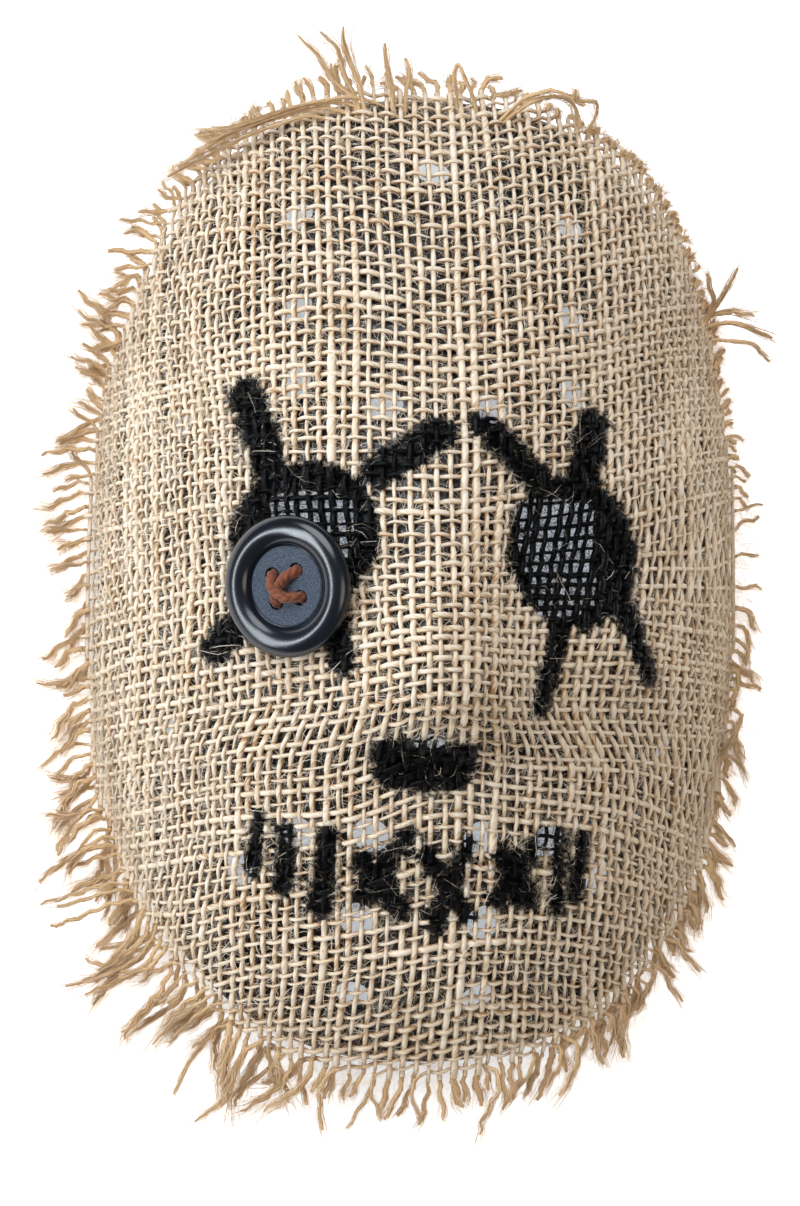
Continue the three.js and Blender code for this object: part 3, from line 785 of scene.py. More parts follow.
def tassel(line, radius, unspun, tone, rng):
    """Plies, brushed fibres and stray hairs of one thread end that follows a line."""
    along = unit(np.gradient(line, axis=0))
    side = unit(np.cross(along, [0, 0, 1.0]))
    over = np.cross(side, along)
    travel = np.append(0, np.cumsum(np.linalg.norm(np.diff(line, axis=0), axis=1)))
    share = travel / travel[-1]

    def ring(side, over, turn, reach, flatness=0.7):
        """Steps from the line to the places round it, a little flattened."""
        return (side * np.cos(turn)[:, None] + flatness * over * np.sin(turn)[:, None]) * reach[:, None]

    body = radius * (1 - (0.35 + 0.45 * unspun) * share**3)
    ply_share, twist_pitch = 0.60, 5.5 * MM
    spin = rng.uniform(0, math.tau)
    plies = []
    for ply in range(3):
        turn = spin + math.tau * (ply / 3 + travel / twist_pitch * (1 - 0.6 * unspun * share))
        reach = body * blend(0.42, 0.42 + 0.55 * unspun, share)
        # A high of 0.4 gives the plies a little of the painted dip shade
        plies.append(Run(
            floor_stop(line + ring(side, over, turn, reach)), over, body * ply_share / PLY,
            tone=tone + rng.normal(0, 0.35), ink=UNPAINTED, high=0.4,
        ))

    steps = 6
    fibres = []
    for _ in range(int(blend(24, 50, unspun))):
        knots = np.linspace(rng.uniform(0, 0.7), rng.uniform(0.9, 1.12 + 0.2 * unspun), steps)
        inside = np.minimum(knots, 1)
        places = line_between(line, share, inside)
        places += (knots - inside)[:, None] * travel[-1] * along[-1]
        across, upward = line_between(side, share, inside), line_between(over, share, inside)
        turn = rng.uniform(0, math.tau) + knots * rng.normal(0, 0.8)
        flare = knots**1.5 * rng.uniform(0.1, 1.0) * (0.6 + 3.0 * unspun)
        reach = radius * (rng.uniform(0.5, 1.05) + flare)
        wiggle = rng.normal(0, 0.08 * MM, (steps, 3)) * knots[:, None]
        fibres.append(Run(
            floor_stop(places + ring(across, upward, turn, reach) + wiggle), spun(rng, steps),
            np.linspace(1.5, 0.9, steps), tone=tone + rng.normal(0.8, 2.2), ink=UNPAINTED,
        ))

    stray_count = 9
    hairs = []
    for _ in range(stray_count):
        begin = rng.integers(0, len(line) - 2)
        places = line[begin:]
        local = np.linspace(0, 1, len(places))[:, None]
        away = rng.normal(0, 1, 3) * [1, 1, 0.4]
        places = places + away * local**1.2 * rng.uniform(0.5, 3.2) * MM
        places += rng.normal(0, 0.2 * MM, places.shape) * local
        hairs.append(Run(
            floor_stop(places), spun(rng, len(places)), blend(1.0, 0.5, local[:, 0]),
            tone=tone + rng.normal(0, 0.6), ink=UNPAINTED,
        ))
    return plies, fibres, hairs


def fringe_tassels(ends, rng):
    """The line, radius, looseness and tone of every frayed end. Neighbours lean together in tufts."""
    groups = {}
    for end in ends:
        groups.setdefault(end["side"], []).append(end)
    for key in sorted(groups):
        left = 0
        for end in groups[key]:
            if left == 0:
                left = rng.integers(1, 5)
                lean = rng.normal(0, 0.38)
                longer = rng.uniform(0.65, 1.3)
                lift = rng.normal(0.02, 0.12)
                curl = rng.normal(0, 0.5)
                looser = rng.normal(0, 0.25)
            left -= 1
            x, y = end["plan"]
            angle = math.atan2(y, x)
            length, goal, unspun = fringe_at(angle)
            inside = float(-past_rim(x, y))
            length = max(length * longer * rng.uniform(0.75, 1.15) + min(inside, 6 * MM), 2.5 * MM)
            droop = lift - 0.30 * float(smooth(FLAT_SIDES, 1, end_share(angle)))
            steps = int(np.clip(length / (1.5 * MM), 5, 16))
            line = fringe_line(end, length, goal + lean + rng.normal(0, 0.16), droop, curl, steps, rng)
            yield line, end["radius"], min(max(unspun + looser, 0), 1), end["tone"]


def loose_tassels(rng):
    """The same for the long threads that hang out of the weave."""
    for knots, thickness, unspun in LOOSE_THREADS:
        knots = np.array(knots) * MM
        spans = len(knots) - 1
        line = line_through(knots, np.linspace(0, spans, 4 * spans + 1))
        line[1:] += np.cumsum(rng.normal(0, 0.12 * MM, (len(line) - 1, 3)), 0) * [1, 1, 0.4]
        yield shifted(*line.T), thickness * weave().weft_width / 2, unspun, rng.normal(0, 0.5)


def spun(rng, count, upward=1.6):
    """Facings for a flat hair, the same all along it and random from hair to hair."""
    facing = unit(rng.normal(0, 1, 3) + [0, 0, upward])
    return np.repeat(facing[None, :], count, 0)


def weave_hairs(x, y, woven, layers, rng):
    """Fine hairs that bridge the gaps between the threads or stand a little off them."""
    cells = woven[:-1, :-1] & woven[1:, :-1] & woven[:-1, 1:] & woven[1:, 1:]
    columns, rows = np.nonzero(cells)
    centre_x = (x[columns, rows] + x[columns + 1, rows + 1]) / 2
    centre_y = (y[columns, rows] + y[columns + 1, rows + 1]) / 2
    painted = ink_distance(centre_x, centre_y) < 0
    bare_share = 0.06
    hairs = []
    for each, spread, low, high in layers:
        pick = np.repeat(np.arange(len(columns)), rng.poisson(each * (1 + 3.0 * painted)))
        count = len(pick)
        middle = np.stack([centre_x[pick], centre_y[pick]], -1) + rng.normal(0, 0.7 * MM, (count, 2))
        turn = rng.uniform(0, math.pi, count)
        reach = rng.uniform(0.6, 1.25, count) * spread * MM
        direction = np.stack([np.cos(turn), np.sin(turn)], -1)
        bow = np.stack([-np.sin(turn), np.cos(turn)], -1) * (rng.normal(0, 0.65, count) * MM)[:, None]
        spots = []
        for place, bowed in ((-1, 0), (-0.35, 0.9), (0.35, 0.9), (1, 0)):
            kink = rng.normal(0, 0.32 * MM, (count, 2))
            spots.append(middle + direction * (reach * place)[:, None] + bow * bowed + kink)
        spots = np.stack(spots, 1)
        plan_x, plan_y = spots[..., 0], spots[..., 1]
        normal = normals(cloth_height, plan_x, plan_y)
        lift = rng.uniform(low, high, (count, 4)) * MM
        points = shifted(plan_x, plan_y, cloth_height(plan_x, plan_y)) + normal * lift[..., None]
        bare = 8 * (rng.random((count, 1)) < bare_share)
        ink = ink_distance(plan_x, plan_y) + rng.normal(0, 0.7, (count, 1)) + bare
        for number in range(count):
            facing = spun(rng, 4)
            radius = rng.uniform(0.55, 1.3) * np.array([0.7, 1, 1, 0.6])
            hairs.append(Run(
                floor_stop(points[number]), facing, radius, tone=rng.normal(0, 0.6), ink=ink[number]))
    return hairs


def halo_hairs(rng, count):
    """Short curly hairs that stand out from the cut edge all round."""
    hairs = []
    steps = 5
    angles = rng.uniform(0, math.tau, count)
    rim_x, rim_y = rim_point(angles)
    outwards = unit(-normals(rim_distance, rim_x, rim_y)[:, :2])
    for number in range(count):
        outward = outwards[number]
        start = np.array([rim_x[number], rim_y[number]]) + outward * rng.uniform(-4, 6) * MM
        height = float(cloth_height(*start))
        length, goal, _ = fringe_at(angles[number])
        heading = math.atan2(outward[1], outward[0]) + rng.normal(0, 0.75)
        heading = turn_towards(heading, goal, rng.uniform(0, 0.5))
        reach = rng.uniform(3, 9) * MM + rng.uniform(0, 0.5) * length
        bend, pitch = rng.normal(0, 0.55), rng.normal(0.0, 0.35)
        spots = [np.array([*start, height + rng.uniform(-0.6, 0.8) * MM])]
        for _ in range(steps - 1):
            heading += bend * rng.uniform(0.3, 1.6)
            move = np.array([math.cos(heading), math.sin(heading), math.sin(pitch)])
            pitch += rng.normal(0, 0.25)
            spots.append(spots[-1] + move * reach / (steps - 1))
        spots = floor_stop(shifted(*np.transpose(spots)), EDGE_HAIR_STOP)
        facing = spun(rng, steps)
        radius = rng.uniform(0.5, 1.0) * np.linspace(1, 0.5, steps)
        hairs.append(Run(spots, facing, radius, tone=rng.normal(0, 0.6), ink=UNPAINTED))
    return hairs


# Shader node groups that several materials share


def new_group(name, inputs, outputs):
    group = bpy.data.node_groups.new(name, "ShaderNodeTree")
    for label, kind, default in inputs:
        socket = group.interface.new_socket(name=label, in_out="INPUT", socket_type=kind)
        if default is not None:
            socket.default_value = default
    for label, kind in outputs:
        group.interface.new_socket(name=label, in_out="OUTPUT", socket_type=kind)
    source = group.nodes.new("NodeGroupInput")
    target = group.nodes.new("NodeGroupOutput")
    return group, source.outputs, target.inputs


class Sketch:
    """Short words for adding nodes to one tree."""

    def __init__(self, tree):
        self.tree = tree

    def join(self, source, target):
        if isinstance(source, (int, float, tuple)):
            target.default_value = source
        else:
            self.tree.links.new(source, target)

    def node(self, kind, sockets=None, **settings):
        made = self.tree.nodes.new(kind)
        for label, value in settings.items():
            setattr(made, label, value)
        for label, value in (sockets or {}).items():
            self.join(value, made.inputs[label])
        return made

    def math(self, operation, first, second=0.0):
        made = self.node("ShaderNodeMath", operation=operation)
        self.join(first, made.inputs[0])
        self.join(second, made.inputs[1])
        return made.outputs[0]

    def mix(self, share, first, second, kind="RGBA"):
        made = self.node("ShaderNodeMix", data_type=kind)
        inputs, output = {"FLOAT": ((0, 2, 3), 0), "RGBA": ((0, 6, 7), 2)}[kind]
        for place, value in zip(inputs, (share, first, second)):
            self.join(value, made.inputs[place])
        return made.outputs[output]

    def noise(self, vector, scale, detail=2.0, roughness=0.5):
        values = {"Vector": vector, "Scale": scale, "Detail": detail, "Roughness": roughness}
        return self.node("ShaderNodeTexNoise", values).outputs["Fac"]

    def ramp(self, value, start, end, low=0.0, high=1.0):
        values = {"Value": value, "From Min": start, "From Max": end, "To Min": low, "To Max": high}
        return self.node("ShaderNodeMapRange", values, interpolation_type="SMOOTHSTEP").outputs[0]

    def scaled(self, vector, factors):
        return self.node("ShaderNodeVectorMath", {0: vector, 1: factors}, operation="MULTIPLY").outputs[0]

    def attribute(self, name):
        return self.node("ShaderNodeAttribute", attribute_name=name).outputs["Fac"]

    def relief(self, height, strength, depth, surface):
        """Raises the surface's shading by the height."""
        values = {"Strength": strength, "Distance": depth, "Height": height}
        self.join(self.node("ShaderNodeBump", values).outputs[0], surface.inputs["Normal"])


def colour(values):
    return (*values, 1.0)


def jute_group():
    """Twisted straw colour of a jute thread. Streak follows the fibres, Tone shifts a whole thread, Painted
    shade darkens it.
    """
    group, inlet, outlet = new_group(
        "Jute fibre",
        [("Streak", "NodeSocketVector", None), ("Place", "NodeSocketVector", None),
         ("Tone", "NodeSocketFloat", 0.0), ("Warmth", "NodeSocketFloat", 0.0),
         ("Depth", "NodeSocketFloat", 0.0)],
        [("Color", "NodeSocketColor"), ("Height", "NodeSocketFloat")],
    )
    draw = Sketch(group)
    coarse = draw.noise(inlet["Streak"], 1.0, 3.0, 0.6)
    patches = draw.noise(inlet["Place"], 45.0, 2.0)
    flecks = draw.noise(inlet["Place"], 420.0, 1.0)
    value = draw.math("ADD", draw.math("MULTIPLY", inlet["Tone"], 0.10), coarse)
    value = draw.math("ADD", value, draw.math("MULTIPLY", draw.math("SUBTRACT", patches, 0.5), 0.12))
    # The painted shade darkens the straw here
    value = draw.math("SUBTRACT", value, inlet["Depth"])
    tint = draw.node("ShaderNodeValToRGB", {"Fac": value})
    ramp = tint.color_ramp
    ramp.elements[0].position, ramp.elements[1].position = 0.29, 0.64
    ramp.elements[0].color = colour(weave().dark_straw_and_shade)
    ramp.elements[1].color = colour(weave().pale_straw)
    middle = ramp.elements.new(0.45)
    middle.color = colour(weave().straw)
    golden = draw.mix(inlet["Warmth"], tint.outputs[0], colour(weave().golden_straw))
    rust = draw.ramp(flecks, 0.70, 0.80, 0.0, 0.35)
    draw.join(draw.mix(rust, golden, colour(weave().rust_fleck)), outlet["Color"])
    draw.join(coarse, outlet["Height"])
    return group


def paint_group():
    """Mask of the paint that soaked into the jute, blotchy at the strokes' edges."""
    group, inlet, outlet = new_group(
        "Soaked paint",
        [("Place", "NodeSocketVector", None), ("Distance", "NodeSocketFloat", UNPAINTED),
         ("Softness", "NodeSocketFloat", 0.7)],
        [("Mask", "NodeSocketFloat")],
    )
    draw = Sketch(group)
    cloud = draw.noise(inlet["Place"], 900.0, 3.0, 0.65)
    blots = draw.math("MULTIPLY", draw.math("SUBTRACT", cloud, 0.5), 3.4)
    edge = draw.math("ADD", inlet["Distance"], blots)
    inner = draw.math("MULTIPLY", inlet["Softness"], -1.0)
    draw.join(draw.ramp(edge, inner, inlet["Softness"], 1.0, 0.0), outlet["Mask"])
    return group


def grain_group():
    """Fine pits and smears of moulded plastic."""
    group, inlet, outlet = new_group(
        "Moulded grain",
        [("Place", "NodeSocketVector", None), ("Scale", "NodeSocketFloat", 1500.0)],
        [("Height", "NodeSocketFloat"), ("Smear", "NodeSocketFloat")],
    )
    draw = Sketch(group)
    draw.join(draw.noise(inlet["Place"], inlet["Scale"], 2.0, 0.6), outlet["Height"])
    draw.join(draw.noise(inlet["Place"], 38.0, 4.0, 0.55), outlet["Smear"])
    return group


def shared_group(name, maker):
    return bpy.data.node_groups.get(name) or maker()


def start_material(name):
    material = bpy.data.materials.new(name)
    material.use_nodes = True
    draw = Sketch(material.node_tree)
    return material, draw, material.node_tree.nodes["Principled BSDF"]


# depth is how much darker the straw is drawn. Threads with their own UV take it as painted shade on their
# flanks and dips; the loose hairs take it below 0, which draws them paler
def thread_material(name, warmth, has_uv=True, twist=1.0, bump=0.8, depth=0.0):
    """Matt jute with fibre streaks, with painted shade on a thread's flanks and where it dips, a little
    lighter along its top, soaked with paint.
    """
    material, draw, surface = start_material(name)
    coordinates = draw.node("ShaderNodeTexCoord")
    place = coordinates.outputs["Object"]
    if has_uv:
        split = draw.node("ShaderNodeSeparateXYZ", {"Vector": coordinates.outputs["UV"]})
        round_thread, along_thread = split.outputs[0], split.outputs[1]
        streak = draw.node("ShaderNodeCombineXYZ", {
            "X": draw.math("ADD", draw.math("MULTIPLY", round_thread, 9.0),
                           draw.math("MULTIPLY", along_thread, 10.0 * twist)),
            "Y": draw.math("MULTIPLY", along_thread, 2.2),
            "Z": draw.math("MULTIPLY", draw.attribute("tone"), 7.3),
        }).outputs[0]
        # Painted shade: the straw is drawn darker towards a thread's flanks and where it dips under a
        # crossing thread, and a little lighter along its top
        from_top = draw.math("ABSOLUTE", draw.math("SUBTRACT", round_thread, 0.5))
        flank_shade = draw.ramp(from_top, 0.05, 0.30, 0.0, 0.20)
        dip = draw.ramp(draw.attribute("high"), 0.7, -0.9, 0.0, 0.11)
        depth = draw.math("ADD", draw.math("SUBTRACT", flank_shade, 0.05), dip)
    else:
        streak = draw.scaled(place, (300.0, 300.0, 300.0))
    fibre = draw.node("ShaderNodeGroup", node_tree=shared_group("Jute fibre", jute_group))
    draw.join(streak, fibre.inputs["Streak"])
    draw.join(place, fibre.inputs["Place"])
    draw.join(draw.attribute("tone"), fibre.inputs["Tone"])
    draw.join(warmth, fibre.inputs["Warmth"])
    draw.join(depth, fibre.inputs["Depth"])
    paint = draw.node("ShaderNodeGroup", node_tree=shared_group("Soaked paint", paint_group))
    draw.join(place, paint.inputs["Place"])
    draw.join(draw.attribute("ink"), paint.inputs["Distance"])
    mask = paint.outputs["Mask"]
    # Paint on the highs of the fibre streaks is drawn paler: worn paint, and a painted glint on the black as
    # well
    wear_and_glint = draw.ramp(fibre.outputs["Height"], 0.50, 0.78)
    ink_shade = draw.mix(wear_and_glint, colour(weave().ink), colour(weave().worn_ink_and_glint))
    draw.join(draw.mix(mask, fibre.outputs["Color"], ink_shade), surface.inputs["Base Color"])
    draw.join(draw.mix(mask, 0.92, 0.30, "FLOAT"), surface.inputs["Roughness"])
    draw.relief(fibre.outputs["Height"], bump, 0.25 * MM, surface)
    surface.inputs["Specular IOR Level"].default_value = 0.12
    return material


def plastic_material(name, base, smear_base, roughness, smear_roughness, grain_scale, grain_depth):
    """Moulded plastic with smears that are paler and rougher."""
    material, draw, surface = start_material(name)
    place = draw.node("ShaderNodeTexCoord").outputs["Object"]
    grain = draw.node("ShaderNodeGroup", node_tree=shared_group("Moulded grain", grain_group))
    draw.join(place, grain.inputs["Place"])
    draw.join(grain_scale, grain.inputs["Scale"])
    smear = draw.ramp(grain.outputs["Smear"], 0.35, 0.7)
    draw.join(draw.mix(smear, colour(base), colour(smear_base)), surface.inputs["Base Color"])
    dull = draw.ramp(grain.outputs["Smear"], 0.3, 0.75, roughness, smear_roughness)
    draw.join(dull, surface.inputs["Roughness"])
    draw.relief(grain.outputs["Height"], 1.0, grain_depth, surface)
    return material


def speckled_material():
    """The button's matt sunk disc, with fine pale speckles."""
    material, draw, surface = start_material("Speckled button disc")
    place = draw.node("ShaderNodeTexCoord").outputs["Object"]
    speckle = draw.ramp(draw.noise(place, 3600.0, 2.0, 0.7), 0.42, 0.66)
    shade = draw.mix(speckle, colour(stud().disc), colour(stud().disc_speckle))
    draw.join(shade, surface.inputs["Base Color"])
    draw.join(draw.ramp(speckle, 0, 1, 0.80, 0.66), surface.inputs["Roughness"])
    surface.inputs["Specular IOR Level"].default_value = 0.3
    draw.relief(speckle, 0.7, 0.04 * MM, surface)
    return material


def cord_material():
    """Reddish brown sewing cord, fibrous along its plies."""
    material, draw, surface = start_material("Brown sewing cord")
    coordinates = draw.node("ShaderNodeTexCoord")
    split = draw.node("ShaderNodeSeparateXYZ", {"Vector": coordinates.outputs["UV"]})
    round_ply, along_ply = split.outputs[0], split.outputs[1]
    streak = draw.node("ShaderNodeCombineXYZ", {
        "X": draw.math("ADD", draw.math("MULTIPLY", round_ply, 7.0), draw.math("MULTIPLY", along_ply, 5.0)),
        "Y": draw.math("MULTIPLY", along_ply, 3.0),
        "Z": draw.attribute("tone"),
    }).outputs[0]
    fibres = draw.noise(streak, 1.6, 4.0, 0.7)
    fuzz = draw.noise(coordinates.outputs["Object"], 2600.0, 2.0, 0.7)
    light = draw.math("ADD", draw.math("MULTIPLY", fibres, 0.7), draw.math("MULTIPLY", fuzz, 0.3))
    shade = draw.mix(draw.ramp(light, 0.35, 0.68), colour(stud().cord_shade), colour(stud().cord_colour))
    draw.join(shade, surface.inputs["Base Color"])
    draw.relief(fibres, 0.9, 0.12 * MM, surface)
    surface.inputs["Roughness"].default_value = 0.9
    surface.inputs["Sheen Weight"].default_value = 0.2
    surface.inputs["Sheen Roughness"].default_value = 0.5
    return material


def floor_material():
    """Pale studio paper with a soft glow of its own, so that the holes in the face stay light."""
    material, draw, surface = start_material("Studio paper")
    place = draw.node("ShaderNodeTexCoord").outputs["Object"]
    cloud = draw.noise(place, 3.0, 2.0)
    cloudy = tuple(0.985 * part for part in studio().floor_colour)
    draw.join(draw.mix(cloud, colour(cloudy), colour(studio().floor_colour)), surface.inputs["Base Color"])
    surface.inputs["Roughness"].default_value = 0.95
    reach_x, reach_y = form().half_width - 4 * MM, form().chin_reach - 4 * MM
    reach = draw.scaled(place, (1 / reach_x, 1 / reach_y, 0.0))
    away = draw.node("ShaderNodeVectorMath", {0: reach}, operation="LENGTH").outputs["Value"]
    glow = draw.mix(draw.ramp(away, 1.18, 0.94), colour(studio().open_glow), colour(studio().floor_glow))
    draw.join(glow, surface.inputs["Emission Color"])
    surface.inputs["Emission Strength"].default_value = 1.0
    return material


# Round shapes and cut holes


def lathe(profile, steps, stretch=(1, 1, 1)):
    """A closed shape spun from a profile of reaches and heights."""
    shape = bmesh.new()
    points = [shape.verts.new((reach, 0, height)) for reach, height in profile]
    edges = [shape.edges.new(pair) for pair in zip(points, points[1:])]
    bmesh.ops.spin(
        shape, geom=points + edges, cent=(0, 0, 0), axis=(0, 0, 1), dvec=(0, 0, 0), angle=math.tau,
        steps=steps, use_merge=True, use_duplicate=False,
    )
    bmesh.ops.remove_doubles(shape, verts=shape.verts, dist=SAME_POINT)
    bmesh.ops.scale(shape, vec=stretch, verts=shape.verts)
    bmesh.ops.recalc_face_normals(shape, faces=shape.faces)
    return shape


def spool(width, height, round_edge, depth, steps):
    """A cutter that is narrow in the wall and flares at both of its faces."""
    flare = round_edge / (width / 2)
    mouth, lip, neck = 1 + 4 * flare, 1 + 1.15 * flare, 1 + 0.42 * flare
    profile = [
        (0, 6 * MM), (mouth, 6 * MM), (lip, 0.15 * MM), (neck, -0.14 * depth), (1.0, -0.36 * depth),
        (1.0, -0.68 * depth), (neck, -0.88 * depth), (lip, -depth - 0.15 * MM), (mouth, -depth - 5 * MM),
        (0, -depth - 5 * MM),
    ]
    return lathe(profile, steps, (width / 2, height / 2, 1))


def to_mesh(name, shape):
    mesh = bpy.data.meshes.new(name)
    shape.to_mesh(mesh)
    shape.free()
    return mesh


def joined(shapes):
    """One mesh of several bmeshes that are already in place."""
    whole = bmesh.new()
    for shape in shapes:
        part = to_mesh("part", shape)
        whole.from_mesh(part)
        bpy.data.meshes.remove(part)
    return to_mesh("cutters", whole)


def cut(mesh, cutters):
    """The mesh without the cutters' space."""
    body = bpy.data.objects.new("body to cut", mesh)
    tool = bpy.data.objects.new("cutters", cutters)
    for one in (body, tool):
        bpy.context.scene.collection.objects.link(one)
    modifier = body.modifiers.new("holes", "BOOLEAN")
    modifier.operation = "DIFFERENCE"
    modifier.solver = "EXACT"
    modifier.object = tool
    bpy.context.view_layer.update()
    graph = bpy.context.evaluated_depsgraph_get()
    result = bpy.data.meshes.new_from_object(body.evaluated_get(graph), depsgraph=graph)
    if len(result.polygons) <= len(mesh.polygons):
        raise RuntimeError("the holes weren't cut")
    for one in (body, tool):
        bpy.data.objects.remove(one)
    return result


def smooth_by_angle(mesh, degrees):
    """Soft shading, with creases left sharp."""
    shape = bmesh.new()
    shape.from_mesh(mesh)
    limit = math.radians(degrees)
    for face in shape.faces:
        face.smooth = True
    for edge in shape.edges:
        edge.smooth = len(edge.link_faces) == 2 and edge.calc_face_angle(0) < limit
    shape.to_mesh(mesh)
    shape.free()


# Settings that a user would change


def length_setting(name, description, default):
    return FloatProperty(name=name, description=description, default=default, unit="LENGTH")


def angle_setting(name, description, degrees):
    return FloatProperty(name=name, description=description, default=math.radians(degrees), subtype="ANGLE")


def power_setting(name, description, default):
    return FloatProperty(name=name, description=description, default=default, unit="POWER")


def colour_setting(name, description, default):
    return FloatVectorProperty(name=name, description=description, default=default, subtype="COLOR")


class DollFaceForm(bpy.types.PropertyGroup):
    half_width: length_setting("Half width", "From the middle of the face to its side", 0.0834)
    top_reach: length_setting("Top reach", "From the middle of the face to the top of the head", 0.1264)
    chin_reach: length_setting("Chin reach", "From the middle of the face to the chin", 0.1244)
    front_height: length_setting("Front height", "Height of the dome without its relief", 0.0694)
    top_lift: length_setting("Top lift", "How far the rim rises at the top of the head", 0.024)
    chin_lift: length_setting("Chin lift", "How far the rim rises at the chin", 0.020)
    wall: length_setting("Wall", "Thickness of the shell", 0.0025)
    hem_droop: angle_setting("Hem droop", "How far the hem hangs past the head and the chin", 32)
    eye_x: length_setting("Eye spacing", "From the middle to each eye hole", 0.0315)
    eye_y: length_setting("Eye height", "Eye holes above the middle of the face", 0.0005)
    eye_width: length_setting("Eye width", "Width of an eye hole", 0.029)
    eye_height: length_setting("Eye length", "Height of an eye hole", 0.030)
    vent: length_setting("Vent", "Diameter of a vent", 0.009)
    shell: colour_setting("Shell", "Black of the shell", (0.0085, 0.009, 0.010))
    shell_smear: colour_setting("Shell smears", "Greyer patches of the shell", (0.016, 0.017, 0.019))


class DollJute(bpy.types.PropertyGroup):
    pitch: length_setting("Pitch", "From one thread to the next", 0.00295)
    warp_width: length_setting("Warp width", "Width of an upright thread", 0.00153)
    warp_thickness: length_setting("Warp thickness", "Thickness of an upright thread", 0.00138)
    weft_width: length_setting("Weft width", "Width of a level thread", 0.00116)
    weft_thickness: length_setting("Weft thickness", "Thickness of a level thread", 0.00100)
    warp_wave: length_setting("Warp wave", "How far an upright thread goes over and under", 0.00040)
    weft_wave: length_setting("Weft wave", "How far a level thread goes over and under", 0.00060)
    rest_height: length_setting("Rest height", "Middle of the weave over the shell", 0.00135)
    side_hem: length_setting("Side hem", "Woven jute past the rim at the sides", 0.0028)
    end_hem: length_setting("End hem", "Woven jute past the rim at the head and the chin", 0.0026)
    hem_unevenness: length_setting("Hem unevenness", "How uneven the cut is", 0.0014)
    hair_width: length_setting("Hair width", "Width of a loose fibre", 0.00011)
    halo_count: IntProperty(
        name="Edge hairs", description="Number of loose hairs round the edge", default=5000, min=0)
    straw: colour_setting("Straw", "Middle colour of the jute", (0.745, 0.60, 0.43))
    pale_straw: colour_setting("Pale straw", "Light fibres", (0.835, 0.742, 0.61))
    # Dark straw is the colour of dark fibres and also of the painted shade on the threads' flanks and dips
    dark_straw_and_shade: colour_setting("Dark straw", "Dark fibres", (0.41, 0.235, 0.105))
    golden_straw: colour_setting("Golden straw", "Untwisted ends", (0.66, 0.45, 0.24))
    rust_fleck: colour_setting("Rust flecks", "Bark left in the fibre", (0.33, 0.125, 0.04))
    ink: colour_setting("Paint", "Black paint", (0.0016, 0.0017, 0.0020))
    # Worn paint: paint rubbed thin on the highest fibres, and a painted glint on the black paint as well
    worn_ink_and_glint: colour_setting("Worn paint", "Paint on the highest fibres", (0.009, 0.010, 0.012))


class DollButton(bpy.types.PropertyGroup):
    diameter: length_setting("Diameter", "Across the button", 0.035)
    thickness: length_setting("Thickness", "From back to rim", 0.0054)
    foot: length_setting("Foot", "Diameter of the flat back", 0.027)
    rim_width: length_setting("Rim width", "Width of the round rim", 0.0072)
    disc_level: length_setting("Disc level", "Height of the sunk disc over the back", 0.0033)
    x: length_setting("Place across", "Middle of the button on the face", -0.032)
    y: length_setting("Place along", "Middle of the button on the face", -0.0085)
    turn: angle_setting("Turn", "Turn of the four holes", 9.5)
    hole: length_setting("Hole", "Diameter of a thread hole", 0.0033)
    hole_spacing: length_setting("Hole spacing", "From hole to hole", 0.0068)
    cord: length_setting("Cord", "Diameter of the sewing cord", 0.0027)
    gloss: colour_setting("Rim", "Glossy rim", (0.0030, 0.0042, 0.0075))
    gloss_smear: colour_setting("Rim smears", "Paler patches of the rim", (0.0050, 0.0070, 0.0120))
    disc: colour_setting("Disc", "Matt disc", (0.034, 0.046, 0.067))
    disc_speckle: colour_setting("Disc speckles", "Pale speckles of the disc", (0.100, 0.125, 0.165))
    cord_colour: colour_setting("Cord", "Brown of the cord", (0.27, 0.078, 0.029))
    cord_shade: colour_setting("Cord shade", "Dark fibres of the cord", (0.11, 0.027, 0.010))


class DollStudio(bpy.types.PropertyGroup):
    distance: length_setting("Camera distance", "From the camera to the face", 0.9)
    lens: FloatProperty(
        name="Lens", description="Focal length", default=158.4, subtype="DISTANCE_CAMERA")
    key_power: power_setting("Key light", "Power of the large soft light", 26.5)
    side_power: power_setting("Side light", "Power of the low light from the left", 14.0)
    front_power: power_setting("Front light", "Power of the wide light over the chin", 8.0)
    ambient: FloatProperty(
        name="Ambient", description="Brightness of the studio's walls", default=0.165, min=0.0)
    floor_colour: colour_setting("Paper", "Colour of the floor", (0.92, 0.92, 0.92))
    floor_glow: colour_setting("Paper glow", "Light that the floor under the mask gives", (0.42, 0.455, 0.50))
    open_glow: colour_setting(
        "Open paper glow", "Light that the floor beside the mask gives", (0.7, 0.7, 0.7))


# Operators, one for each piece or group of like pieces


def turn_to(way):
    """The turn from straight up to a given way."""
    return UPWARD.rotation_difference(way).to_matrix().to_4x4()


def aim(item, place, target, up):
    back = (Vector(place) - Vector(target)).normalized()
    right = Vector(up).cross(back).normalized()
    axes = Matrix((right, back.cross(right), back)).transposed()
    item.matrix_world = Matrix.Translation(place) @ axes.to_4x4()


def soft_light(name, power, place, target, size, tint, up):
    lamp = bpy.data.lights.new(name, "AREA")
    lamp.shape = "ELLIPSE"
    lamp.size, lamp.size_y = size
    lamp.energy = power
    lamp.color = tint
    item = bpy.data.objects.new(name, lamp)
    bpy.context.scene.collection.objects.link(item)
    aim(item, place, target, up)


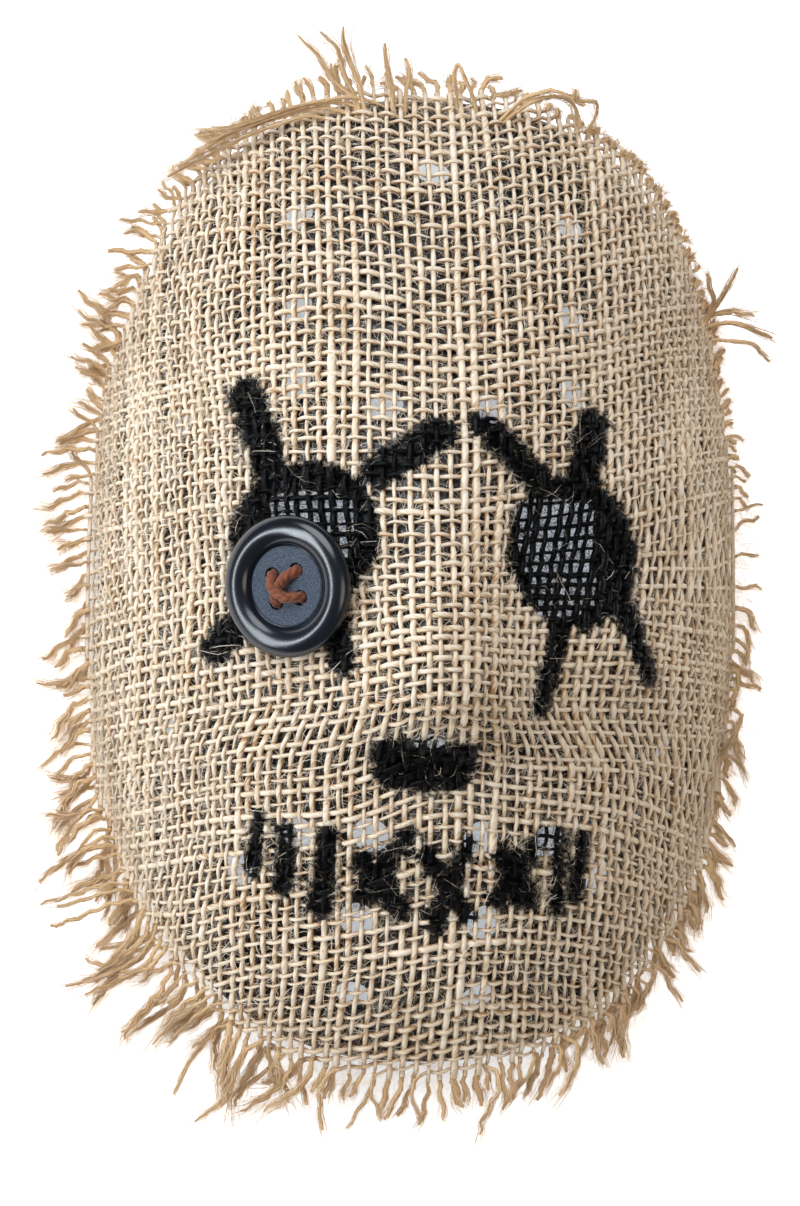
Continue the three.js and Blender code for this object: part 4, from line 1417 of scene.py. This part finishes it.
class DollStage(bpy.types.Operator):
    """Camera, pale paper floor and soft lights"""
    bl_idname = "doll_mask.stage"
    bl_label = "Build the stage"

    def execute(self, context):
        scene = context.scene
        target = Vector((0, 0, SIGHT_LEVEL)) + face_shift()
        lens = bpy.data.cameras.new("Camera")
        lens.sensor_fit = "HORIZONTAL"
        lens.sensor_width = 36
        lens.lens = studio().lens
        camera = bpy.data.objects.new("Camera", lens)
        scene.collection.objects.link(camera)
        sight = target + CAMERA_RIGHT * SIGHT_RIGHT + CAMERA_UP * SIGHT_UP
        aim(camera, target + CAMERA_BACK * studio().distance, sight, CAMERA_UP)
        scene.camera = camera

        shape = bmesh.new()
        bmesh.ops.create_grid(shape, x_segments=8, y_segments=8, size=3.0)
        bmesh.ops.translate(shape, vec=(0, 0, -0.2 * MM), verts=shape.verts)
        mesh = to_mesh("floor", shape)
        mesh.materials.append(floor_material())
        floor = bpy.data.objects.new("floor", mesh)
        scene.collection.objects.link(floor)

        for name, setting, place, size, tint, up in LIGHTS:
            soft_light(name, getattr(studio(), setting), place, target, size, tint, up)
        world = bpy.data.worlds.new("Studio")
        world.use_nodes = True
        backdrop = world.node_tree.nodes["Background"]
        backdrop.inputs["Color"].default_value = BACKDROP_TINT
        backdrop.inputs["Strength"].default_value = studio().ambient
        scene.world = world
        scene.view_settings.view_transform = "Standard"
        return {"FINISHED"}


class DollShell(bpy.types.Operator):
    """Smooth black face shell with flared vents and eye holes"""
    bl_idname = "doll_mask.shell"
    bl_label = "Build the face shell"

    def execute(self, context):
        shape = bmesh.new()
        cells = 84
        bmesh.ops.create_grid(shape, x_segments=cells, y_segments=cells, size=1.0)
        flat = np.array([vert.co[:] for vert in shape.verts])
        across = flat[:, 0] * np.sqrt(1 - flat[:, 1] ** 2 / 2)
        along = flat[:, 1] * np.sqrt(1 - flat[:, 0] ** 2 / 2)
        angle = np.arctan2(along, across)
        ring = np.minimum(np.hypot(across, along), 1)
        share = np.sin(ring * GRID_BEND) / math.sin(GRID_BEND)
        rim_x, rim_y = rim_point(angle)
        x, y = rim_x * share, rim_y * share
        on_rim = ring > 1 - 1e-6
        height = np.where(on_rim, rim_lift(angle), face_height(x, y))
        for vert, place in zip(shape.verts, shifted(x, y, height)):
            vert.co = place
        bmesh.ops.recalc_face_normals(shape, faces=shape.faces)
        if sum(face.normal.z for face in shape.faces) < 0:
            bmesh.ops.reverse_faces(shape, faces=shape.faces)
        bmesh.ops.solidify(shape, geom=shape.faces[:], thickness=form().wall)
        for vert in shape.verts:
            vert.co.z = max(vert.co.z, 0)
        bmesh.ops.recalc_face_normals(shape, faces=shape.faces)
        result = cut(to_mesh("shell_front", shape), joined(self.cutters()))
        smooth_by_angle(result, 50)
        result.name = "shell_front"
        black = plastic_material(
            "Black moulded plastic", form().shell, form().shell_smear, 0.34, 0.50, 1400.0, 0.02 * MM)
        add_piece("shell_front", result, [black], "face_shell")
        return {"FINISHED"}

    def cutters(self):
        """Vents square to the wall, and eye holes straight through it from the front."""
        face = form()
        vents = [*MIDDLE_VENTS, *PAIRED_VENTS, *((-x, y) for x, y in PAIRED_VENTS)]
        for x, y in np.array(vents) * MM:
            shape = spool(face.vent, face.vent, 0.5 * MM, face.wall, 28)
            yield self.placed(shape, x, y, Vector(normals(face_height, x, y)))
        for x in (-face.eye_x, face.eye_x):
            shape = spool(face.eye_width, face.eye_height, 0.7 * MM, face.wall, 56)
            yield self.placed(shape, x, face.eye_y, UPWARD)

    def placed(self, shape, x, y, way):
        spot = Vector((x, y, float(face_height(x, y)))) + face_shift()
        bmesh.ops.transform(shape, matrix=Matrix.Translation(spot) @ turn_to(way), verts=shape.verts)
        return shape


class DollJuteCover(bpy.types.Operator):
    """Woven jute threads, their frayed ends and their loose hairs"""
    bl_idname = "doll_mask.jute"
    bl_label = "Weave the jute"

    def execute(self, context):
        jute = weave()
        x, y, woven = lay_crossings()
        warps, warp_ends = thread_runs(
            "warp", x, y, woven, jute.warp_wave, np.random.default_rng(21), jute.warp_width / 2)
        wefts, weft_ends = thread_runs(
            "weft", x.T, y.T, woven.T, jute.weft_wave, np.random.default_rng(22), jute.weft_width / 2)
        self.test_against_frame(warps)
        woven_look = thread_material("Woven jute", 0.0)
        frayed_look = thread_material("Frayed jute", 0.88, twist=0.4, bump=0.5)
        hair_look = thread_material("Loose jute fibres", 0.0, has_uv=False, bump=0.0, depth=-0.10)
        brushed_look = thread_material("Brushed jute fibres", 0.68, has_uv=False, bump=0.0, depth=-0.08)
        warp = self.threads("jute_warp", warps, jute.warp_width / 2, jute.warp_thickness / 2, 5, woven_look)
        weft = self.threads("jute_weft", wefts, jute.weft_width / 2, jute.weft_thickness / 2, 5, woven_look)
        rng = np.random.default_rng(33)
        plies, fibres, stray = [], [], []
        for line, radius, unspun, tone in [*fringe_tassels(warp_ends + weft_ends, rng), *loose_tassels(rng)]:
            for whole, own in zip((plies, fibres, stray), tassel(line, radius, unspun, tone, rng)):
                whole += own
        fringe = self.threads("jute_fringe", plies, PLY, PLY, 4, frayed_look)
        brush = self.hairs("jute_fringe_fibres", fibres, brushed_look)
        gaps = self.hairs("jute_gap_hairs", weave_hairs(x, y, woven, GAP_FIBRES, rng), hair_look)
        nap = self.hairs("jute_nap", weave_hairs(x, y, woven, NAP_FIBRES, rng), hair_look)
        edge = self.hairs("jute_edge_hairs", stray + halo_hairs(rng, jute.halo_count), brushed_look)
        width, length, area = self.flat_cloth()
        print(f"jute: cut {width / MM:.0f} x {length / MM:.0f} mm, {area * 1e4:.0f} cm2")
        return {"FINISHED"}

    def threads(self, name, runs, half_width, half_height, sides, look):
        mesh = thread_mesh(name, runs, half_width, half_height, sides)
        return add_piece(name, mesh, [look], "burlap_cover")

    def hairs(self, name, runs, look):
        mesh = thread_mesh(name, runs, weave().hair_width / 2)
        print(f"{name}: {len(runs)} fibres, {2 * len(mesh.polygons)} triangles")
        return add_piece(name, mesh, [look], "burlap_cover")

    def flat_cloth(self):
        """Width, length and area of the woven oval when it is laid flat, without its frayed ends."""
        spare, step = 8 * MM, 1 * MM
        reach = max(form().top_reach, form().chin_reach) + spare
        span = np.arange(-reach, reach, step)
        x, y = np.meshgrid(span, span, indexing="ij")
        slope_x, slope_y = slopes(cloth_height, x, y)
        inside = past_rim(x, y) < hem_reach(np.arctan2(y, x))
        woven = float((np.sqrt(1 + slope_x**2 + slope_y**2) * inside).sum() * step * step)
        middle = len(span) // 2
        across = np.sqrt(1 + slope_x[:, middle] ** 2)[inside[:, middle]].sum() * step
        along = np.sqrt(1 + slope_y[middle] ** 2)[inside[middle]].sum() * step
        return float(across), float(along), min(woven, float(across * along))

    def test_against_frame(self, runs):
        """Stops if the weave doesn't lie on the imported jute."""
        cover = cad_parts["burlap_cover"]
        over_face, least_hits, most_gap = 0.2, 50, 3 * MM
        gaps = []
        for run in runs[8:-8:6]:
            for point in run.points[12:-12:15]:
                hit, place, _, _ = cover.ray_cast(Vector((point[0], point[1], over_face)), -UPWARD)
                if hit:
                    gaps.append(abs(place.z - point[2]))
        if len(gaps) < least_hits or np.percentile(gaps, 90) > most_gap:
            raise RuntimeError("the weave doesn't lie on the packed cover")
        print(f"weave against the packed cover: {np.median(gaps) / MM:.2f} mm apart")


def button_place():
    """Where the button lies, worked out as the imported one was."""
    button = stud()
    facing = np.array(BUTTON_FACING)
    middle = np.array([button.x, button.y, float(face_height(button.x, button.y))])
    reach = np.arange(-button.diameter / 2, button.diameter / 2 + 1e-9, 1 * MM)
    x, y = (grid.ravel() for grid in np.meshgrid(button.x + reach, button.y + reach))
    points = np.stack([x, y, face_height(x, y)], -1) + normals(face_height, x, y) * JUTE_TOP - middle
    height = points @ facing
    sideways = np.linalg.norm(points - height[:, None] * facing, axis=1)
    clearance = max(height[sideways < button.foot / 2].max(), 0) + BUTTON_GAP
    spot = Vector(middle) + BUTTON_FACING * clearance + face_shift()
    return Matrix.Translation(spot) @ turn_to(BUTTON_FACING)


def hole_corners():
    """The four thread holes on the disc, from the top left one round with the clock."""
    half = stud().hole_spacing / 2
    turn = Matrix.Rotation(stud().turn, 2)
    return [turn @ Vector(corner) for corner in ((-half, half), (half, half), (half, -half), (-half, -half))]


class DollCoatButton(bpy.types.Operator):
    """Glossy coat button with a fat rim, a sunk speckled disc and four holes"""
    bl_idname = "doll_mask.button"
    bl_label = "Build the button"

    def profile(self, inner):
        """Reaches and heights from the middle of the back, over the round rim, to the middle of the disc."""
        button = stud()
        level = button.thickness / 2
        middle = (button.diameter - button.rim_width) / 2
        yield from ((0, 0), (button.foot / 2 - 0.4 * MM, 0), (button.foot / 2, 0.15 * MM))
        steps, first, last, flat_back = 34, -62, 176, 0.94
        for step in range(steps + 1):
            turn = math.radians(blend(first, last, step / steps))
            rise = level * (flat_back if turn < 0 else 1)
            yield middle + button.rim_width / 2 * math.cos(turn), level + rise * math.sin(turn)
        for inward, down in DISC_GROOVE:
            yield inner - inward * MM, button.disc_level - down * MM
        yield 0, button.disc_level

    def execute(self, context):
        button = stud()
        inner = button.diameter / 2 - button.rim_width
        shape = lathe(list(self.profile(inner)), 96)
        for face in shape.faces:
            place = face.calc_center_median()
            face.material_index = int(math.hypot(place.x, place.y) < inner - 0.5 * MM and place.z > 1 * MM)
        mesh = to_mesh("coat_button", shape)
        gloss = plastic_material(
            "Glossy button rim", button.gloss, button.gloss_smear, 0.17, 0.23, 2200.0, 0.003 * MM)
        speckled = speckled_material()
        for look in (gloss, speckled):
            mesh.materials.append(look)
        holes = []
        for corner in hole_corners():
            hole = spool(button.hole, button.hole, 0.3 * MM, button.disc_level, 28)
            bmesh.ops.translate(hole, vec=(corner.x, corner.y, button.disc_level), verts=hole.verts)
            holes.append(hole)
        cutters = joined(holes)
        cutters.materials.append(gloss)
        result = cut(mesh, cutters)
        smooth_by_angle(result, 20)
        result.transform(button_place())
        result.name = "coat_button"
        piece = add_piece("coat_button", result, (gloss, speckled), "button")
        low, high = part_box("button")
        centre = (Vector(low) + Vector(high)) / 2
        own = [Vector(corner) for corner in piece.bound_box]
        most_off = 0.6 * MM
        if ((own[0] + own[6]) / 2 - centre).length > most_off:
            raise RuntimeError("the button isn't where the packed one is")
        return {"FINISHED"}


class DollButtonCord(bpy.types.Operator):
    """Brown cord of three plies, sewn crosswise through the button"""
    bl_idname = "doll_mask.cord"
    bl_label = "Sew the cord"

    def execute(self, context):
        rng = np.random.default_rng(44)
        corners = hole_corners()
        place = np.array(button_place())
        turned, moved = place[:3, :3].T, place[:3, 3]
        radius = stud().cord / 2
        ply_reach, ply_radius, twist_pitch = radius * 0.46, radius * 0.62, 5.2 * MM
        runs, fuzz = [], []
        for first, last, rise, bow in CORD_RUNS:
            start, end = corners[first], corners[last]
            line = self.stitch(start, end, rise * MM, Vector([part * MM for part in bow]))
            along = unit(np.gradient(line, axis=0))
            way = end - start
            side = np.cross(along, np.array([-way.y, way.x, 0]) / way.length)
            over = np.cross(side, along)
            travel = Run(line, over, 1).lengths()
            for ply in range(3):
                turn = math.tau * (ply / 3 + travel / twist_pitch)
                points = line + ply_reach * (side * np.cos(turn)[:, None] + over * np.sin(turn)[:, None])
                points = points @ turned + moved
                facing = over @ turned
                swell = 1 + drift(rng, 1, len(points), 4, 0.07)[0]
                runs.append(Run(points, facing, swell, tone=rng.normal(0, 3)))
                fuzz += self.loose_fibres(points, facing, rng)
        look = cord_material()
        mesh = thread_mesh("button_cord", runs, ply_radius, ply_radius, 8)
        add_piece("button_cord", mesh, [look], "button_thread")
        hairs = thread_mesh("cord_fuzz", fuzz, 0.028 * MM)
        add_piece("cord_fuzz", hairs, [look], "button_thread")
        return {"FINISHED"}

    def loose_fibres(self, points, facing, rng):
        """Short hairs that lie along one ply and stand off it a little."""
        count, steps, spare, half_reach = 90, 4, 8, 4
        for _ in range(count):
            spot = rng.integers(spare, len(points) - spare)
            away = rng.normal(0, 1, (steps, 3)) * 0.22 * MM
            slope = points[spot + half_reach] - points[spot - half_reach]
            places = points[spot] + np.linspace(-0.5, 0.5, steps)[:, None] * slope + np.cumsum(away, 0)
            lifted = facing[spot] * rng.uniform(0.2, 0.75) * MM
            yield Run(places + lifted, spun(rng, steps, 0.0), 1.0, tone=rng.normal(0, 3))

    def stitch(self, start, end, rise, bow):
        """Up through one hole, over the disc and down the hole across from it."""
        level = stud().disc_level
        climb = [
            (1.0, 0.1 * MM), (1.0, level * 0.55), (0.97, level), (0.80, level + 0.62 * rise),
            (0.45, level + rise),
        ]
        knots = []
        for hole, half in ((start, climb), (end, climb[::-1])):
            for share, height in half:
                spot = hole * share + bow * smooth(0.97, 0.4, share)
                knots.append((spot.x, spot.y, height))
        points = 60
        return line_through(np.array(knots), np.linspace(0, len(knots) - 1, points))


class DollMaskPanel(bpy.types.Panel):
    """Settings and steps of the rag doll mask"""
    bl_idname = "VIEW3D_PT_doll_mask"
    bl_label = "Rag doll mask"
    bl_space_type = "VIEW_3D"
    bl_region_type = "UI"
    bl_category = "Mask"

    def draw(self, context):
        for operator, name in STEPS:
            box = self.layout.box()
            group = getattr(context.scene, name)
            for label in group.bl_rna.properties.keys():
                if label not in {"rna_type", "name"}:
                    box.prop(group, label)
            box.operator(operator.bl_idname)


GROUPS = {
    "doll_face": DollFaceForm, "doll_jute": DollJute, "doll_button": DollButton, "doll_studio": DollStudio,
}
STEPS = (
    (DollStage, "doll_studio"), (DollShell, "doll_face"), (DollJuteCover, "doll_jute"),
    (DollCoatButton, "doll_button"), (DollButtonCord, "doll_button"),
)


def register():
    for name, group in GROUPS.items():
        bpy.utils.register_class(group)
        setattr(bpy.types.Scene, name, PointerProperty(type=group))
    for operator, _ in STEPS:
        bpy.utils.register_class(operator)
    bpy.utils.register_class(DollMaskPanel)


def unregister():
    bpy.utils.unregister_class(DollMaskPanel)
    for operator, _ in reversed(STEPS):
        bpy.utils.unregister_class(operator)
    for name, group in reversed(GROUPS.items()):
        delattr(bpy.types.Scene, name)
        bpy.utils.unregister_class(group)


def main():
    register()
    bpy.ops.doll_mask.stage()
    bpy.ops.doll_mask.shell()
    bpy.ops.doll_mask.jute()
    bpy.ops.doll_mask.button()
    bpy.ops.doll_mask.cord()


if __name__ == "__main__":
    main()
